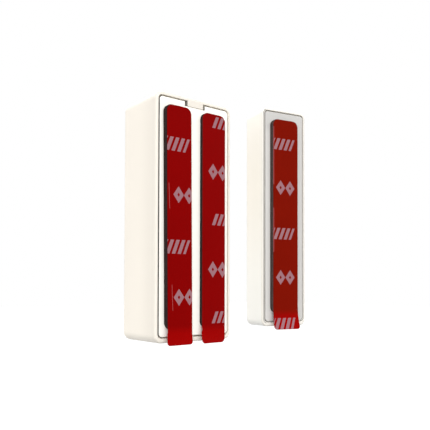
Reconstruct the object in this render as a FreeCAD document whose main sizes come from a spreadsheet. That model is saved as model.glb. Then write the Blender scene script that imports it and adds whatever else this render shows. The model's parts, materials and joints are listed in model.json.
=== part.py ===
import FreeCAD
import Part
import math
import os
import re

import Sketcher
from FreeCAD import Placement, Rotation, Vector

# Door sensor: a battery powered sensor unit and the magnet unit that stands beside it.
# The sensor unit hooks onto a back cover that foam tape holds to the door frame.
# The magnet unit goes on the door with a foam tape strip of its own.
#
# Frames. Each unit is drawn in a local frame of its own and then set in place:
# X runs to the right as the unit is seen from behind, from its left edge.
# Y runs from its rear edge (0) towards its front, so the tape lies at negative Y.
# Z runs up from its bottom edge.
# The finished part has its origin on the outer face of the left tape strip.

doc = FreeCAD.newDocument("door_sensor")

# Driving dimensions, in millimetres and degrees

SIZES = [
    # Sensor case
    ("case_width", 32.8, "sensor case, left to right"),
    ("case_height", 84.0, "sensor case, bottom to top"),
    ("case_sole", 0.55, "more of the bottom wall, outside that height"),
    ("case_depth", 21.8, "sensor case, rear edge to front face"),
    ("case_corner", 2.8, "corner radius of the case outline"),
    ("case_front_edge", 2.4, "rounding round the front face"),
    ("case_rear_edge", 0.85, "rounding round the rear edge"),
    ("case_wall", 2.0, "side, top and bottom walls"),
    ("case_front_wall", 1.8, "front wall"),
    ("case_cavity_corner", 1.2, "corner radius of the hollow"),
    ("case_lip", 1.12, "thin lip that stands round the back cover"),
    # Back cover of the sensor
    ("cover_gap", 0.45, "groove between lip and back cover"),
    ("cover_seat", 0.15, "clearance between back cover and the ledge behind it"),
    ("cover_thick", 1.6, "back cover plate"),
    ("cover_edge", 0.4, "rounding round the plate, also the rolling edge of the hinge"),
    ("cover_rib_thick", 1.0, "stiffening ribs inside the back cover"),
    ("cover_rib_high", 1.1, "height of the ribs above the plate"),
    ("cover_rib_inset", 0.4, "rib to the side wall of the case"),
    ("cover_rib_end", 6.0, "rib end to the end wall of the case"),
    # Tongue of the case in the notch of the back cover
    ("tongue_wide", 6.8, "tongue across"),
    ("tongue_thick", 1.5, "tongue, rear face to front face"),
    ("tongue_root", 0.3, "tongue that reaches into the lip above it"),
    ("notch_gap", 0.9, "gap at each side of the tongue"),
    ("notch_deep", 1.55, "notch, down from the plate's top edge"),
    ("notch_floor_gap", 0.1, "gap under the tongue"),
    # Catch of the back cover
    ("catch_wide", 5.6, "catch finger across"),
    ("catch_thick", 0.9, "catch finger thickness"),
    ("catch_free", 0.7, "catch finger to the plate"),
    ("catch_long", 9.0, "catch finger, root to nose top"),
    ("catch_nose_high", 1.6, "height of the nose"),
    ("catch_front_bevel", 0.64, "bevel on the front of the nose"),
    ("catch_rear_bevel", 0.8, "bevel on the nose, where the tongue slides over it"),
    ("catch_nose_gap", 0.25, "nose to the tongue"),
    ("catch_ceiling_gap", 0.35, "nose to the top wall of the case"),
    # Hooks of the back cover and their slots in the case
    ("hook_spread", 16.4, "hook to hook"),
    ("hook_wide", 4.0, "hook across"),
    ("hook_reach", 2.8, "hook, out from the plate"),
    ("hook_thick", 1.4, "hook arm"),
    ("hook_nose", 1.2, "hook nose, along its reach"),
    ("hook_drop", 0.9, "hook nose into the bottom wall"),
    ("hook_lift", 0.3, "arm above the bottom wall"),
    ("slot_side_gap", 0.3, "slot past the hook at each side"),
    ("slot_rear_gap", 0.5, "slot behind the hook nose"),
    ("slot_front_gap", 0.6, "slot in front of the hook nose"),
    ("slot_floor_gap", 0.2, "slot below the hook nose"),
    # Foam tape strips and their liners
    ("foam_thick", 1.5, "double sided foam tape"),
    ("liner_thick", 0.15, "release film on the tape"),
    ("strip_wide", 10.2, "sensor tape strips"),
    ("strip_corner", 2.3, "corner radius of the tape"),
    ("strip_top", 4.4, "case top down to the tape's top end"),
    ("foam_end", 3.3, "case bottom up to the foam's lower end"),
    ("tail_drop", 1.1, "film tail below the case bottom"),
    ("tail_bend", 12.0, "radius of the tail's outward curl"),
    ("tail_corner", 1.2, "corner radius of the tail"),
    ("left_strip_x", 8.7, "centre line of the left strip"),
    ("left_strip_angle", 0.55, "degrees that the left strip leans, laid by hand"),
    ("right_strip_x", 23.55, "centre line of the right strip"),
    # Circuit board
    ("board_thick", 1.0, "board thickness"),
    ("board_margin", 0.6, "board to the side and top walls of the case"),
    ("board_leg_gap", 0.5, "battery holder to the narrow leg of the board"),
    ("board_shoulder_gap", 1.2, "battery holder to the wide part of the board"),
    ("board_foot", 0.8, "leg to the bottom wall"),
    # Posts and screws that hold the board
    ("post_high", 5.0, "screw posts, front wall to the board"),
    ("post_radius", 2.2, "screw posts of the case"),
    ("post_bore", 0.95, "pilot bore of a post"),
    ("post_bore_deep", 4.4, "depth of the pilot bore"),
    ("screw_inset", 2.4, "screws from the board's side edges"),
    ("screw_shoulder_rise", 3.0, "left screw above the board's shoulder"),
    ("screw_top_drop", 13.6, "upper right screw below the board's top edge"),
    ("screw_foot_rise", 5.7, "lower right screw above the board's foot"),
    ("screw_radius", 0.9, "screw thread"),
    ("screw_long", 5.0, "screw under its head"),
    ("screw_head_radius", 1.8, "screw head"),
    ("screw_head_high", 1.2, "screw head"),
    ("screw_hole_gap", 0.2, "screw to its hole in the board"),
    ("drive_wide", 0.5, "cross recess in the screw head"),
    ("drive_long", 2.0, "cross recess in the screw head"),
    ("drive_deep", 0.6, "cross recess in the screw head"),
    # Battery and its holder
    ("battery_radius", 8.5, "lithium cell over its sleeve"),
    ("battery_long", 33.5, "cell body"),
    ("battery_edge", 0.7, "rounding of the can's rims"),
    ("can_thick", 0.35, "steel of the can"),
    ("cap_thick", 0.6, "cap that closes the can"),
    ("cap_sink", 0.1, "cap below the can's rim"),
    ("roll_gap", 0.05, "electrode roll to the can"),
    ("sleeve_thick", 0.2, "printed sleeve round the can"),
    ("sleeve_end", 0.9, "bare can at each end of the sleeve"),
    ("terminal_radius", 3.2, "positive terminal"),
    ("terminal_high", 1.0, "positive terminal"),
    ("holder_gap", 0.1, "battery to holder, and holder to walls"),
    ("holder_wall", 1.0, "side walls of the holder"),
    ("holder_base", 0.8, "floor of the holder"),
    ("holder_end", 1.2, "end walls of the holder"),
    ("holder_rim", 3.6, "rear rim of the holder behind the battery's axis"),
    ("spring_room", 3.0, "room for the spring contact under the battery"),
    ("contact_thick", 0.3, "contact strip"),
    ("contact_wide", 6.0, "contact strip"),
    ("contact_tab_low", 3.0, "width of the tabs that reach the board"),
    ("contact_tab_end", 1.2, "tabs past the board leg's left edge"),
    ("contact_slot_gap", 0.1, "slot round a tab"),
    # Reed switch
    ("reed_inset", 2.6, "axis of the glass tube from the board's right edge"),
    ("reed_above", 1.6, "axis of the tube above the board"),
    ("reed_radius", 1.1, "glass tube"),
    ("reed_long", 14.0, "glass tube"),
    ("reed_glass", 0.3, "glass wall"),
    ("reed_seal", 1.8, "solid glass at each end"),
    ("reed_lead_radius", 0.25, "lead wire"),
    ("reed_lead_out", 1.8, "lead wire past the glass"),
    ("blade_wide", 0.9, "contact blades"),
    ("blade_thick", 0.15, "contact blades"),
    ("blade_lap", 1.6, "length over which the blades face each other"),
    ("blade_gap", 0.01, "gap between the closed contacts"),
    ("blade_root_gap", 0.05, "moving blade to its lead"),
    # Radio, chips and other parts on the board
    ("shield_inset", 2.0, "radio shield from the board's left and top edges"),
    ("shield_wide", 13.6, "radio shield"),
    ("shield_tall", 12.4, "radio shield"),
    ("shield_high", 2.4, "radio shield"),
    ("shield_wall", 0.2, "radio shield"),
    ("radio_chip_size", 5.0, "radio chip"),
    ("radio_chip_high", 0.9, "radio chip"),
    ("processor_gap", 0.8, "processor to the left screw's head"),
    ("processor_rise", 4.0, "processor above the board's shoulder"),
    ("processor_size", 7.0, "processor"),
    ("processor_high", 1.0, "processor"),
    ("crystal_gap", 0.8, "crystal to the processor"),
    ("crystal_rise", 6.5, "crystal above the board's shoulder"),
    ("crystal_wide", 2.0, "crystal"),
    ("crystal_tall", 5.0, "crystal"),
    ("crystal_high", 1.2, "crystal"),
    ("capacitor_gap", 0.6, "storage capacitor to the processor"),
    ("capacitor_rise", 3.2, "axis of the storage capacitor above the board's shoulder"),
    ("capacitor_radius", 2.0, "storage capacitor"),
    ("capacitor_high", 5.8, "storage capacitor"),
    ("antenna_inset", 0.8, "antenna from the board's right edge"),
    ("antenna_drop", 1.2, "antenna below the board's top edge"),
    ("antenna_wide", 7.0, "antenna"),
    ("antenna_tall", 3.4, "antenna"),
    ("antenna_high", 4.4, "antenna above the board"),
    ("antenna_thick", 0.3, "antenna strip"),
    ("antenna_leg", 0.8, "antenna legs"),
    ("antenna_feed", 2.6, "from the ground leg to the feed leg"),
    # Switches
    ("switch_size", 6.0, "body of both switches"),
    ("switch_gap", 1.2, "both switches to the radio shield"),
    ("pairing_drop", 8.4, "pairing switch below the board's top edge"),
    ("pairing_high", 3.4, "pairing switch body"),
    ("pairing_button_radius", 1.7, "pairing button"),
    ("pairing_button_out", 1.5, "pairing button above its body"),
    ("pairing_travel", 0.25, "travel of the pairing button"),
    ("tamper_drop", 18.8, "tamper switch below the board's top edge"),
    ("tamper_high", 4.4, "tamper switch body"),
    ("tamper_plunger_radius", 1.5, "tamper plunger"),
    ("tamper_travel", 1.0, "travel of the tamper plunger"),
    ("tamper_touch", 0.02, "plunger to the back cover when it is pressed in"),
    ("plunger_side_gap", 0.05, "plunger or button to its bore"),
    ("plunger_root", 0.6, "plunger or button that stays in its bore"),
    ("plunger_foot_gap", 0.1, "under a plunger or button at full travel"),
    # Status light
    ("light_drop", 8.0, "status light and light pipe below the case top"),
    ("led_wide", 1.6, "light emitting diode"),
    ("led_tall", 0.8, "light emitting diode"),
    ("led_high", 0.6, "light emitting diode"),
    ("pipe_radius", 1.2, "light pipe"),
    ("pipe_hole_gap", 0.05, "light pipe to its hole"),
    ("pipe_flange_radius", 1.9, "flange of the light pipe"),
    ("pipe_flange_high", 1.2, "flange of the light pipe"),
    ("pipe_air", 0.2, "light pipe to the diode"),
    # Magnet unit
    ("magnet_x", 48.4, "left edge of the magnet unit, from the sensor's left edge"),
    ("magnet_y", -0.4, "rear corner of the magnet unit, from the sensor's rear edge"),
    ("magnet_lift", 3.8, "bottom of the magnet unit above the sensor's"),
    ("magnet_angle", 10.9, "degrees that the magnet unit is turned"),
    ("shell_width", 20.4, "magnet case, left to right"),
    ("shell_height", 84.0, "magnet case, bottom to top"),
    ("shell_sole", 0.55, "more of the bottom wall, outside that height"),
    ("shell_depth", 12.8, "magnet case, rear edge to front face"),
    ("shell_corner", 2.5, "corner radius of the outline"),
    ("shell_front_edge", 2.1, "rounding round the front face"),
    ("shell_rear_edge", 0.75, "rounding round the rear edge"),
    ("shell_wall", 1.7, "side, top and bottom walls"),
    ("shell_front_wall", 1.6, "front wall"),
    ("shell_cavity_corner", 1.0, "corner radius of the hollow"),
    ("shell_lip", 0.97, "thin lip round the magnet cover"),
    ("lid_gap", 0.45, "groove round the magnet cover"),
    ("lid_seat", 0.05, "clearance behind the magnet cover"),
    ("lid_thick", 1.4, "magnet cover plate"),
    ("lid_edge", 0.3, "rounding round the plate"),
    ("lid_pin_radius", 1.1, "press pins of the magnet cover"),
    ("lid_pin_long", 4.0, "press pins of the magnet cover"),
    ("lid_pin_gap", 0.04, "pin to its socket"),
    ("lid_pin_inset", 5.0, "press pins from the unit's ends"),
    ("socket_wall", 1.1, "wall of a pin socket"),
    ("bar_wide", 10.0, "bar magnet"),
    ("bar_long", 40.0, "bar magnet"),
    ("bar_thick", 5.0, "bar magnet"),
    ("bar_gap", 0.15, "bar magnet to its ribs"),
    ("bar_rib", 1.2, "ribs round the bar magnet"),
    ("bar_rib_high", 3.6, "ribs round the bar magnet"),
    ("pad_wide", 8.0, "foam pad behind the bar magnet"),
    ("pad_long", 30.0, "foam pad behind the bar magnet"),
    ("pad_squeeze_gap", 0.1, "pad to the magnet cover"),
    ("magnet_strip_x", 9.65, "centre line of the magnet unit's tape"),
    ("magnet_strip_wide", 11.5, "magnet unit's tape"),
    ("magnet_strip_top", 4.6, "case top down to the tape's top end"),
    ("magnet_foam_end", 3.9, "case bottom up to the foam's lower end"),
    ("magnet_tail_drop", 1.35, "film tail below the case bottom"),
]

sheet = doc.addObject("Spreadsheet::Sheet", "sizes")
for row, (alias, value, note) in enumerate(SIZES, start=1):
    sheet.set(f"A{row}", alias)
    sheet.set(f"B{row}", str(value))
    sheet.set(f"C{row}", note)
    sheet.setAlias(f"B{row}", alias)
doc.recompute()

ALIASES = {alias for alias, _value, _note in SIZES}


def linked(text):
    """Turns size names in an expression into references to the sheet's cells."""
    return re.sub(r"[a-z_]+", lambda word: "sizes." + word[0] if word[0] in ALIASES else word[0], text)


def number(text):
    """Gives the present value of an expression of size names."""
    return float(sheet.evalExpression(linked(text)))


def bind(item, prop, text):
    """Binds a property to an expression of size names."""
    item.setExpression(prop, linked(text))


# Sketches. A sketch lies on one of its body's origin planes, moved along the
# plane's normal. On the XZ plane, at a given depth, sketch x is X and sketch y is Z.

DEPTH_SIGN = {"XY_Plane": "", "XZ_Plane": "-", "YZ_Plane": ""}


def new_sketch(body, name, plane, depth):
    sketch = body.newObject("Sketcher::SketchObject", name)
    origin_plane = next(item for item in body.Origin.OriginFeatures if item.Role == plane)
    sketch.AttachmentSupport = (origin_plane, [""])
    sketch.MapMode = "FlatFace"
    bind(sketch, "AttachmentOffset.Base.z", f"{DEPTH_SIGN[plane]}({depth})")
    return sketch


def hold(sketch, kind, geometry, point, text):
    """Sets the distance from the sketch's origin to a point of its geometry."""
    constraint = Sketcher.Constraint(kind, -1, 1, geometry, point, number(text))
    index = sketch.addConstraint(constraint)
    bind(sketch, f"Constraints[{index}]", text)


def polygon_sketch(body, name, corners, plane="XZ_Plane", depth="0"):
    """Draws a closed outline of straight lines through corners given as expressions."""
    sketch = new_sketch(body, name, plane, depth)
    points = [Vector(number(across), number(along), 0) for across, along in corners]
    count = len(corners)
    for index in range(count):
        sketch.addGeometry(Part.LineSegment(points[index], points[(index + 1) % count]))
    for index in range(count):
        sketch.addConstraint(Sketcher.Constraint("Coincident", index, 2, (index + 1) % count, 1))
    for index, (across, along) in enumerate(corners):
        hold(sketch, "DistanceX", index, 1, across)
        hold(sketch, "DistanceY", index, 1, along)
    return sketch


def rounded_sketch(body, name, left, low, right, high, radius, plane="XZ_Plane", depth="0"):
    """Draws a rectangle with four round corners."""
    sketch = new_sketch(body, name, plane, depth)
    x_low, x_high = number(left), number(right)
    y_low, y_high = number(low), number(high)
    round_by = number(radius)
    centres = [
        Vector(x_high - round_by, y_low + round_by, 0),
        Vector(x_high - round_by, y_high - round_by, 0),
        Vector(x_low + round_by, y_high - round_by, 0),
        Vector(x_low + round_by, y_low + round_by, 0),
    ]
    outward = [Vector(0, -1, 0), Vector(1, 0, 0), Vector(0, 1, 0), Vector(-1, 0, 0)]
    quarter = math.pi / 2
    for side in range(4):
        start = centres[side - 1] + outward[side] * round_by
        end = centres[side] + outward[side] * round_by
        sketch.addGeometry(Part.LineSegment(start, end))
        circle = Part.Circle(centres[side], Vector(0, 0, 1), round_by)
        sketch.addGeometry(Part.ArcOfCircle(circle, (side - 1) * quarter, side * quarter))
    for side in range(4):
        line, arc, next_line = 2 * side, 2 * side + 1, (2 * side + 2) % 8
        sketch.addConstraint(Sketcher.Constraint("Tangent", line, 2, arc, 1))
        sketch.addConstraint(Sketcher.Constraint("Tangent", arc, 2, next_line, 1))
        sketch.addConstraint(Sketcher.Constraint("Vertical" if side % 2 else "Horizontal", line))
    for arc in (3, 5, 7):
        sketch.addConstraint(Sketcher.Constraint("Equal", 1, arc))
    index = sketch.addConstraint(Sketcher.Constraint("Radius", 1, round_by))
    bind(sketch, f"Constraints[{index}]", radius)
    hold(sketch, "DistanceY", 0, 1, low)
    hold(sketch, "DistanceX", 2, 1, right)
    hold(sketch, "DistanceY", 4, 1, high)
    hold(sketch, "DistanceX", 6, 1, left)
    return sketch


# Features. Each one adds to or cuts from the body that it is given.


def new_body(label):
    body = doc.addObject("PartDesign::Body", label)
    body.Label = label
    return body


def pad(body, name, sketch, length):
    """Pads a sketch on the XZ plane towards +Y."""
    feature = body.newObject("PartDesign::Pad", name)
    feature.Profile = sketch
    bind(feature, "Length", length)
    feature.Reversed = True
    return feature


def middle_pad(body, name, sketch, length):
    """Pads a sketch by half the length to each side."""
    feature = body.newObject("PartDesign::Pad", name)
    feature.Profile = sketch
    bind(feature, "Length", length)
    feature.Midplane = True
    return feature


def pocket(body, name, sketch, length):
    """Cuts a sketch on the XZ plane towards +Y and makes sure that it cut something."""
    doc.recompute()
    before = body.Shape.Volume
    feature = body.newObject("PartDesign::Pocket", name)
    feature.Profile = sketch
    bind(feature, "Length", length)
    doc.recompute()
    if not feature.Shape.Volume < before:
        raise RuntimeError(f"{name} cuts nothing")
    return feature


def round_edges(body, name, radius, wanted):
    """Rounds the edges of the body's last feature that the test picks."""
    doc.recompute()
    base = body.Tip
    names = [f"Edge{index + 1}" for index, edge in enumerate(base.Shape.Edges) if wanted(edge)]
    if not names:
        raise RuntimeError(f"{name} finds no edge")
    feature = body.newObject("PartDesign::Fillet", name)
    feature.Base = (base, names)
    bind(feature, "Radius", radius)
    return feature


def place(feature, corner, rotation=Rotation()):
    feature.Placement = Placement(Vector(), rotation)
    for axis, text in zip("xyz", corner):
        bind(feature, f"Placement.Base.{axis}", text)


def brick(body, name, corner, extents, cut=False):
    """Adds or cuts a block, from its lowest corner and its lengths along X, Y and Z."""
    feature = body.newObject("PartDesign::SubtractiveBox" if cut else "PartDesign::AdditiveBox", name)
    for prop, text in zip(("Length", "Width", "Height"), extents):
        bind(feature, prop, text)
    place(feature, corner)
    return feature


ALONG = {"Y": Rotation(Vector(1, 0, 0), -90), "Z": Rotation()}


def rod(body, name, start, axis, radius, length, cut=False):
    """Adds or cuts a round rod that runs from its start along +Y or +Z."""
    feature = body.newObject("PartDesign::SubtractiveCylinder" if cut else "PartDesign::AdditiveCylinder", name)
    bind(feature, "Radius", radius)
    bind(feature, "Height", length)
    place(feature, start, ALONG[axis])
    return feature


# Tests that pick edges

SAME_PLACE = 1e-4


def lies_at(edge, axis, position):
    box = edge.BoundBox
    low, high = getattr(box, axis + "Min"), getattr(box, axis + "Max")
    return abs(low - position) < SAME_PLACE and abs(high - position) < SAME_PLACE


def runs_along(edge, axis):
    box = edge.BoundBox
    spans = {"X": box.XLength, "Y": box.YLength, "Z": box.ZLength}
    along = spans.pop(axis)
    return along > SAME_PLACE and max(spans.values()) < SAME_PLACE


# Setting the finished sub-parts in place

SENSOR_PLACE = ("-left_strip_x", "foam_thick + liner_thick", "-case_height / 2")
MAGNET_PLACE = (
    "magnet_x - left_strip_x",
    "magnet_y + foam_thick + liner_thick",
    "magnet_lift - case_height / 2",
)

subparts = []


def finish(item, label, unit_place, turn="0"):
    """Names a sub-part and moves it from its unit's local frame to the part's frame."""
    item.Label = label
    item.Placement = Placement(Vector(), Rotation(Vector(0, 0, 1), number(turn)))
    bind(item, "Placement.Rotation.Angle", turn)
    for axis, text in zip("xyz", unit_place):
        bind(item, f"Placement.Base.{axis}", text)
    subparts.append(item)


def finish_sensor(item):
    finish(item, item.Label, SENSOR_PLACE)


def finish_magnet(item):
    finish(item, item.Label, MAGNET_PLACE, "-magnet_angle")


# Shapes that both units have


def shell(label, unit, lid):
    """Makes a case that is open at the rear: outline, hollow, and the mouth for its cover."""
    body = new_body(label)
    outline = rounded_sketch(
        body, label + "_outline", "0", f"-{unit}_sole", f"{unit}_width", f"{unit}_height", f"{unit}_corner"
    )
    pad(body, label + "_block", outline, f"{unit}_depth")
    depth = number(f"{unit}_depth")
    round_edges(body, label + "_front_edge", f"{unit}_front_edge", lambda edge: lies_at(edge, "Y", depth))
    round_edges(body, label + "_rear_edge", f"{unit}_rear_edge", lambda edge: lies_at(edge, "Y", 0))
    hollow = rounded_sketch(
        body, label + "_hollow_outline", f"{unit}_wall", f"{unit}_wall",
        f"{unit}_width - {unit}_wall", f"{unit}_height - {unit}_wall", f"{unit}_cavity_corner",
    )
    pocket(body, label + "_hollow", hollow, f"{unit}_depth - {unit}_front_wall")
    mouth = rounded_sketch(
        body, label + "_mouth_outline", f"{unit}_lip", f"{unit}_lip",
        f"{unit}_width - {unit}_lip", f"{unit}_height - {unit}_lip", f"{unit}_corner - {unit}_lip",
    )
    pocket(body, label + "_mouth", mouth, f"{lid}_thick + {lid}_seat")
    return body


def foam_strip(label, centre, wide, low, high, outer):
    """Makes a foam tape strip. Outer is the Y of the release film's outer face."""
    body = new_body(label)
    outline = rounded_sketch(
        body, label + "_outline", f"{centre} - {wide} / 2", low, f"{centre} + {wide} / 2", high,
        "strip_corner", depth=f"{outer} + liner_thick",
    )
    pad(body, label + "_foam", outline, "foam_thick")
    return body


def liner(label, centre, wide, bend, high, tail, outer):
    """Makes a release film: flat on its foam, then a tail that curls away from the case.

    Bend is the Z of the foam's end, and tail how far the film hangs below it.
    """
    body = new_body(label)
    left, right = f"{centre} - {wide} / 2", f"{centre} + {wide} / 2"
    flat = polygon_sketch(
        body, label + "_flat_outline", [(left, bend), (right, bend), (right, high), (left, high)],
        depth=outer,
    )
    pad(body, label + "_flat", flat, "liner_thick")
    section = polygon_sketch(
        body, label + "_tail_section",
        [(left, outer), (right, outer), (right, f"{outer} + liner_thick"), (left, f"{outer} + liner_thick")],
        plane="XY_Plane", depth=bend,
    )
    axis_y = number(f"{outer} - tail_bend")
    axis = Part.LineSegment(Vector(number(left), axis_y, 0), Vector(number(right), axis_y, 0))
    line = section.addGeometry(axis, True)
    section.addConstraint(Sketcher.Constraint("Horizontal", line))
    hold(section, "DistanceX", line, 1, left)
    hold(section, "DistanceX", line, 2, right)
    hold(section, "DistanceY", line, 1, f"{outer} - tail_bend")
    turned = body.newObject("PartDesign::Revolution", label + "_tail")
    turned.Profile = section
    turned.ReferenceAxis = (section, ["Axis0"])
    bind(turned, "Angle", f"asin(({tail}) / tail_bend)")
    turned.Reversed = True
    doc.recompute()
    end_z = turned.Shape.BoundBox.ZMin
    if end_z > number(bend) - SAME_PLACE:
        turned.Reversed = False
        doc.recompute()
    top_z = number(high)
    round_edges(
        body, label + "_top_corners", "strip_corner",
        lambda edge: runs_along(edge, "Y") and lies_at(edge, "Z", top_z),
    )
    doc.recompute()
    tail_z = body.Shape.BoundBox.ZMin
    round_edges(
        body, label + "_tail_corners", "tail_corner",
        lambda edge: edge.BoundBox.XLength < SAME_PLACE
        and edge.Length < 1.01 * number("liner_thick")
        and edge.BoundBox.ZMin < tail_z + number("liner_thick"),
    )
    return body


# Places inside the sensor case that several sub-parts share

battery_x = "(case_wall + 2 * holder_gap + holder_wall + battery_radius)"
battery_y = "(case_depth - case_front_wall - holder_base - holder_gap - battery_radius)"
holder_left = "(case_wall + holder_gap)"
holder_right = f"({holder_left} + 2 * (battery_radius + holder_gap + holder_wall))"
holder_low = "(case_wall + holder_gap)"
pocket_long = "(spring_room + battery_long + terminal_high + contact_thick)"
holder_high = f"({holder_low} + 2 * holder_end + {pocket_long})"
battery_low = f"({holder_low} + holder_end + spring_room)"

board_back = "(case_depth - case_front_wall - post_high - board_thick)"
board_front = "(case_depth - case_front_wall - post_high)"
board_left = "(case_wall + board_margin)"
board_right = "(case_width - case_wall - board_margin)"
board_low = "(case_wall + board_foot)"
board_high = "(case_height - case_wall - board_margin)"
leg_left = f"({holder_right} + board_leg_gap)"
shoulder = f"({holder_high} + board_shoulder_gap)"

screw_left = f"({board_left} + screw_inset)"
screw_right = f"({board_right} - screw_inset)"
SCREWS = [
    ("upper_left", screw_left, f"({shoulder} + screw_shoulder_rise)"),
    ("upper_right", screw_right, f"({board_high} - screw_top_drop)"),
    ("lower_right", screw_right, f"({board_low} + screw_foot_rise)"),
]
light_z = "(case_height - light_drop)"

# Sensor case

front_case = shell("front_case", "case", "cover")

brick(
    front_case, "tongue",
    (
        "(case_width - tongue_wide) / 2", "0",
        "case_height - case_lip - cover_gap - notch_deep + notch_floor_gap",
    ),
    ("tongue_wide", "tongue_thick", "cover_gap + notch_deep - notch_floor_gap + tongue_root"),
)
for side, sign in (("left", "-"), ("right", "+")):
    brick(
        front_case, f"hook_slot_{side}",
        (
            f"case_width / 2 {sign} hook_spread / 2 - hook_wide / 2 - slot_side_gap",
            "cover_thick + hook_reach - hook_nose - slot_rear_gap",
            "case_wall - hook_drop - slot_floor_gap",
        ),
        (
            "hook_wide + 2 * slot_side_gap",
            "hook_nose + slot_rear_gap + slot_front_gap",
            "hook_drop + slot_floor_gap",
        ),
        cut=True,
    )

for where, x_text, z_text in SCREWS:
    rod(front_case, f"post_{where}", (x_text, board_front, z_text), "Y", "post_radius", "post_high")
    rod(
        front_case, f"post_bore_{where}", (x_text, board_front, z_text), "Y", "post_bore",
        "post_bore_deep", cut=True,
    )
rod(
    front_case, "light_hole", ("case_width / 2", "case_depth - case_front_wall", light_z), "Y",
    "pipe_radius + pipe_hole_gap", "case_front_wall", cut=True,
)
finish_sensor(front_case)

# Back cover of the sensor, which the tape holds to the door frame

back_cover = new_body("back_cover")
cover_outline = rounded_sketch(
    back_cover, "cover_outline", "case_lip + cover_gap", "case_lip + cover_gap",
    "case_width - case_lip - cover_gap", "case_height - case_lip - cover_gap",
    "case_corner - case_lip - cover_gap",
)
pad(back_cover, "cover_plate", cover_outline, "cover_thick")
brick(
    back_cover, "notch",
    (
        "(case_width - tongue_wide) / 2 - notch_gap", "0",
        "case_height - case_lip - cover_gap - notch_deep",
    ),
    ("tongue_wide + 2 * notch_gap", "cover_thick", "notch_deep"),
    cut=True,
)
round_edges(back_cover, "cover_round", "cover_edge", lambda edge: lies_at(edge, "Y", 0))
for side, x_text in (
    ("left", "case_wall + cover_rib_inset"),
    ("right", "case_width - case_wall - cover_rib_inset - cover_rib_thick"),
):
    brick(
        back_cover, f"cover_rib_{side}", (x_text, "cover_thick", "case_wall + cover_rib_end"),
        ("cover_rib_thick", "cover_rib_high", "case_height - 2 * case_wall - 2 * cover_rib_end"),
    )
for side, sign in (("left", "-"), ("right", "+")):
    hook_left = f"case_width / 2 {sign} hook_spread / 2 - hook_wide / 2"
    brick(
        back_cover, f"hook_arm_{side}", (hook_left, "cover_thick", "case_wall + hook_lift"),
        ("hook_wide", "hook_reach", "hook_thick"),
    )
    brick(
        back_cover, f"hook_nose_{side}",
        (hook_left, "cover_thick + hook_reach - hook_nose", "case_wall - hook_drop"),
        ("hook_wide", "hook_nose", "hook_drop + hook_lift"),
    )
finish_sensor(back_cover)

# Catch finger inside the back cover, which keeps the case closed behind its tongue

release_catch = new_body("release_catch")
catch_top = "case_height - case_wall - catch_ceiling_gap"
catch_profile = polygon_sketch(
    release_catch, "catch_profile",
    [
        ("cover_thick", f"{catch_top} - catch_long"),
        ("cover_thick + catch_free + catch_thick", f"{catch_top} - catch_long"),
        ("cover_thick + catch_free + catch_thick", f"{catch_top} - catch_front_bevel"),
        ("cover_thick + catch_free", catch_top),
        ("tongue_thick + catch_nose_gap", f"{catch_top} - catch_rear_bevel"),
        ("tongue_thick + catch_nose_gap", f"{catch_top} - catch_nose_high"),
        ("cover_thick + catch_free", f"{catch_top} - catch_nose_high"),
        ("cover_thick + catch_free", f"{catch_top} - catch_long + catch_thick"),
        ("cover_thick", f"{catch_top} - catch_long + catch_thick"),
    ],
    plane="YZ_Plane", depth="case_width / 2",
)
middle_pad(release_catch, "catch_finger", catch_profile, "catch_wide")
finish_sensor(release_catch)

# Tape strips of the sensor. The left one was laid a little crooked, so it is drawn
# round its own middle and then leaned.

STRIP_LOW = "foam_end - case_height / 2"
STRIP_HIGH = "case_height / 2 - strip_top"

left_foam = foam_strip("left_tape_foam", "0", "strip_wide", STRIP_LOW, STRIP_HIGH, "0")
left_liner = liner(
    "left_tape_liner", "0", "strip_wide", STRIP_LOW, STRIP_HIGH, "foam_end + tail_drop", "0"
)
for item in (left_foam, left_liner):
    item.Placement = Placement(Vector(), Rotation(Vector(0, 1, 0), -number("left_strip_angle")))
    bind(item, "Placement.Rotation.Angle", "-left_strip_angle")
    subparts.append(item)

OUTER = "-(foam_thick + liner_thick)"
right_foam = foam_strip(
    "right_tape_foam", "right_strip_x", "strip_wide", "foam_end", "case_height - strip_top", OUTER
)
finish_sensor(right_foam)
right_liner = liner(
    "right_tape_liner", "right_strip_x", "strip_wide", "foam_end", "case_height - strip_top",
    "foam_end + tail_drop", OUTER,
)
finish_sensor(right_liner)

# Circuit board: full width at the top, with a narrow leg beside the battery

circuit_board = new_body("circuit_board")
board_outline = polygon_sketch(
    circuit_board, "board_outline",
    [
        (leg_left, board_low),
        (board_right, board_low),
        (board_right, board_high),
        (board_left, board_high),
        (board_left, shoulder),
        (leg_left, shoulder),
    ],
    depth=board_back,
)
pad(circuit_board, "board_plate", board_outline, "board_thick")
for where, x_text, z_text in SCREWS:
    rod(
        circuit_board, f"board_hole_{where}", (x_text, board_back, z_text), "Y",
        "screw_radius + screw_hole_gap", "board_thick", cut=True,
    )
finish_sensor(circuit_board)

# Three screws that hold the board to the posts of the case

screw_bodies = []
for where, x_text, z_text in SCREWS:
    screw = new_body(f"screw_{where}")
    head_back = f"{board_back} - screw_head_high"
    rod(screw, f"thread_{where}", (x_text, board_back, z_text), "Y", "screw_radius", "screw_long")
    rod(screw, f"head_{where}", (x_text, head_back, z_text), "Y", "screw_head_radius", "screw_head_high")
    for direction, wide, tall in (
        ("across", "drive_long", "drive_wide"),
        ("upright", "drive_wide", "drive_long"),
    ):
        brick(
            screw, f"recess_{direction}_{where}",
            (f"{x_text} - {wide} / 2", head_back, f"{z_text} - {tall} / 2"),
            (wide, "drive_deep", tall),
            cut=True,
        )
    screw_bodies.append(screw)
board_screws = doc.addObject("Part::Compound", "board_screws")
board_screws.Links = screw_bodies
finish_sensor(board_screws)

# Battery holder, seated on the front wall and the bottom wall of the case

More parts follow.
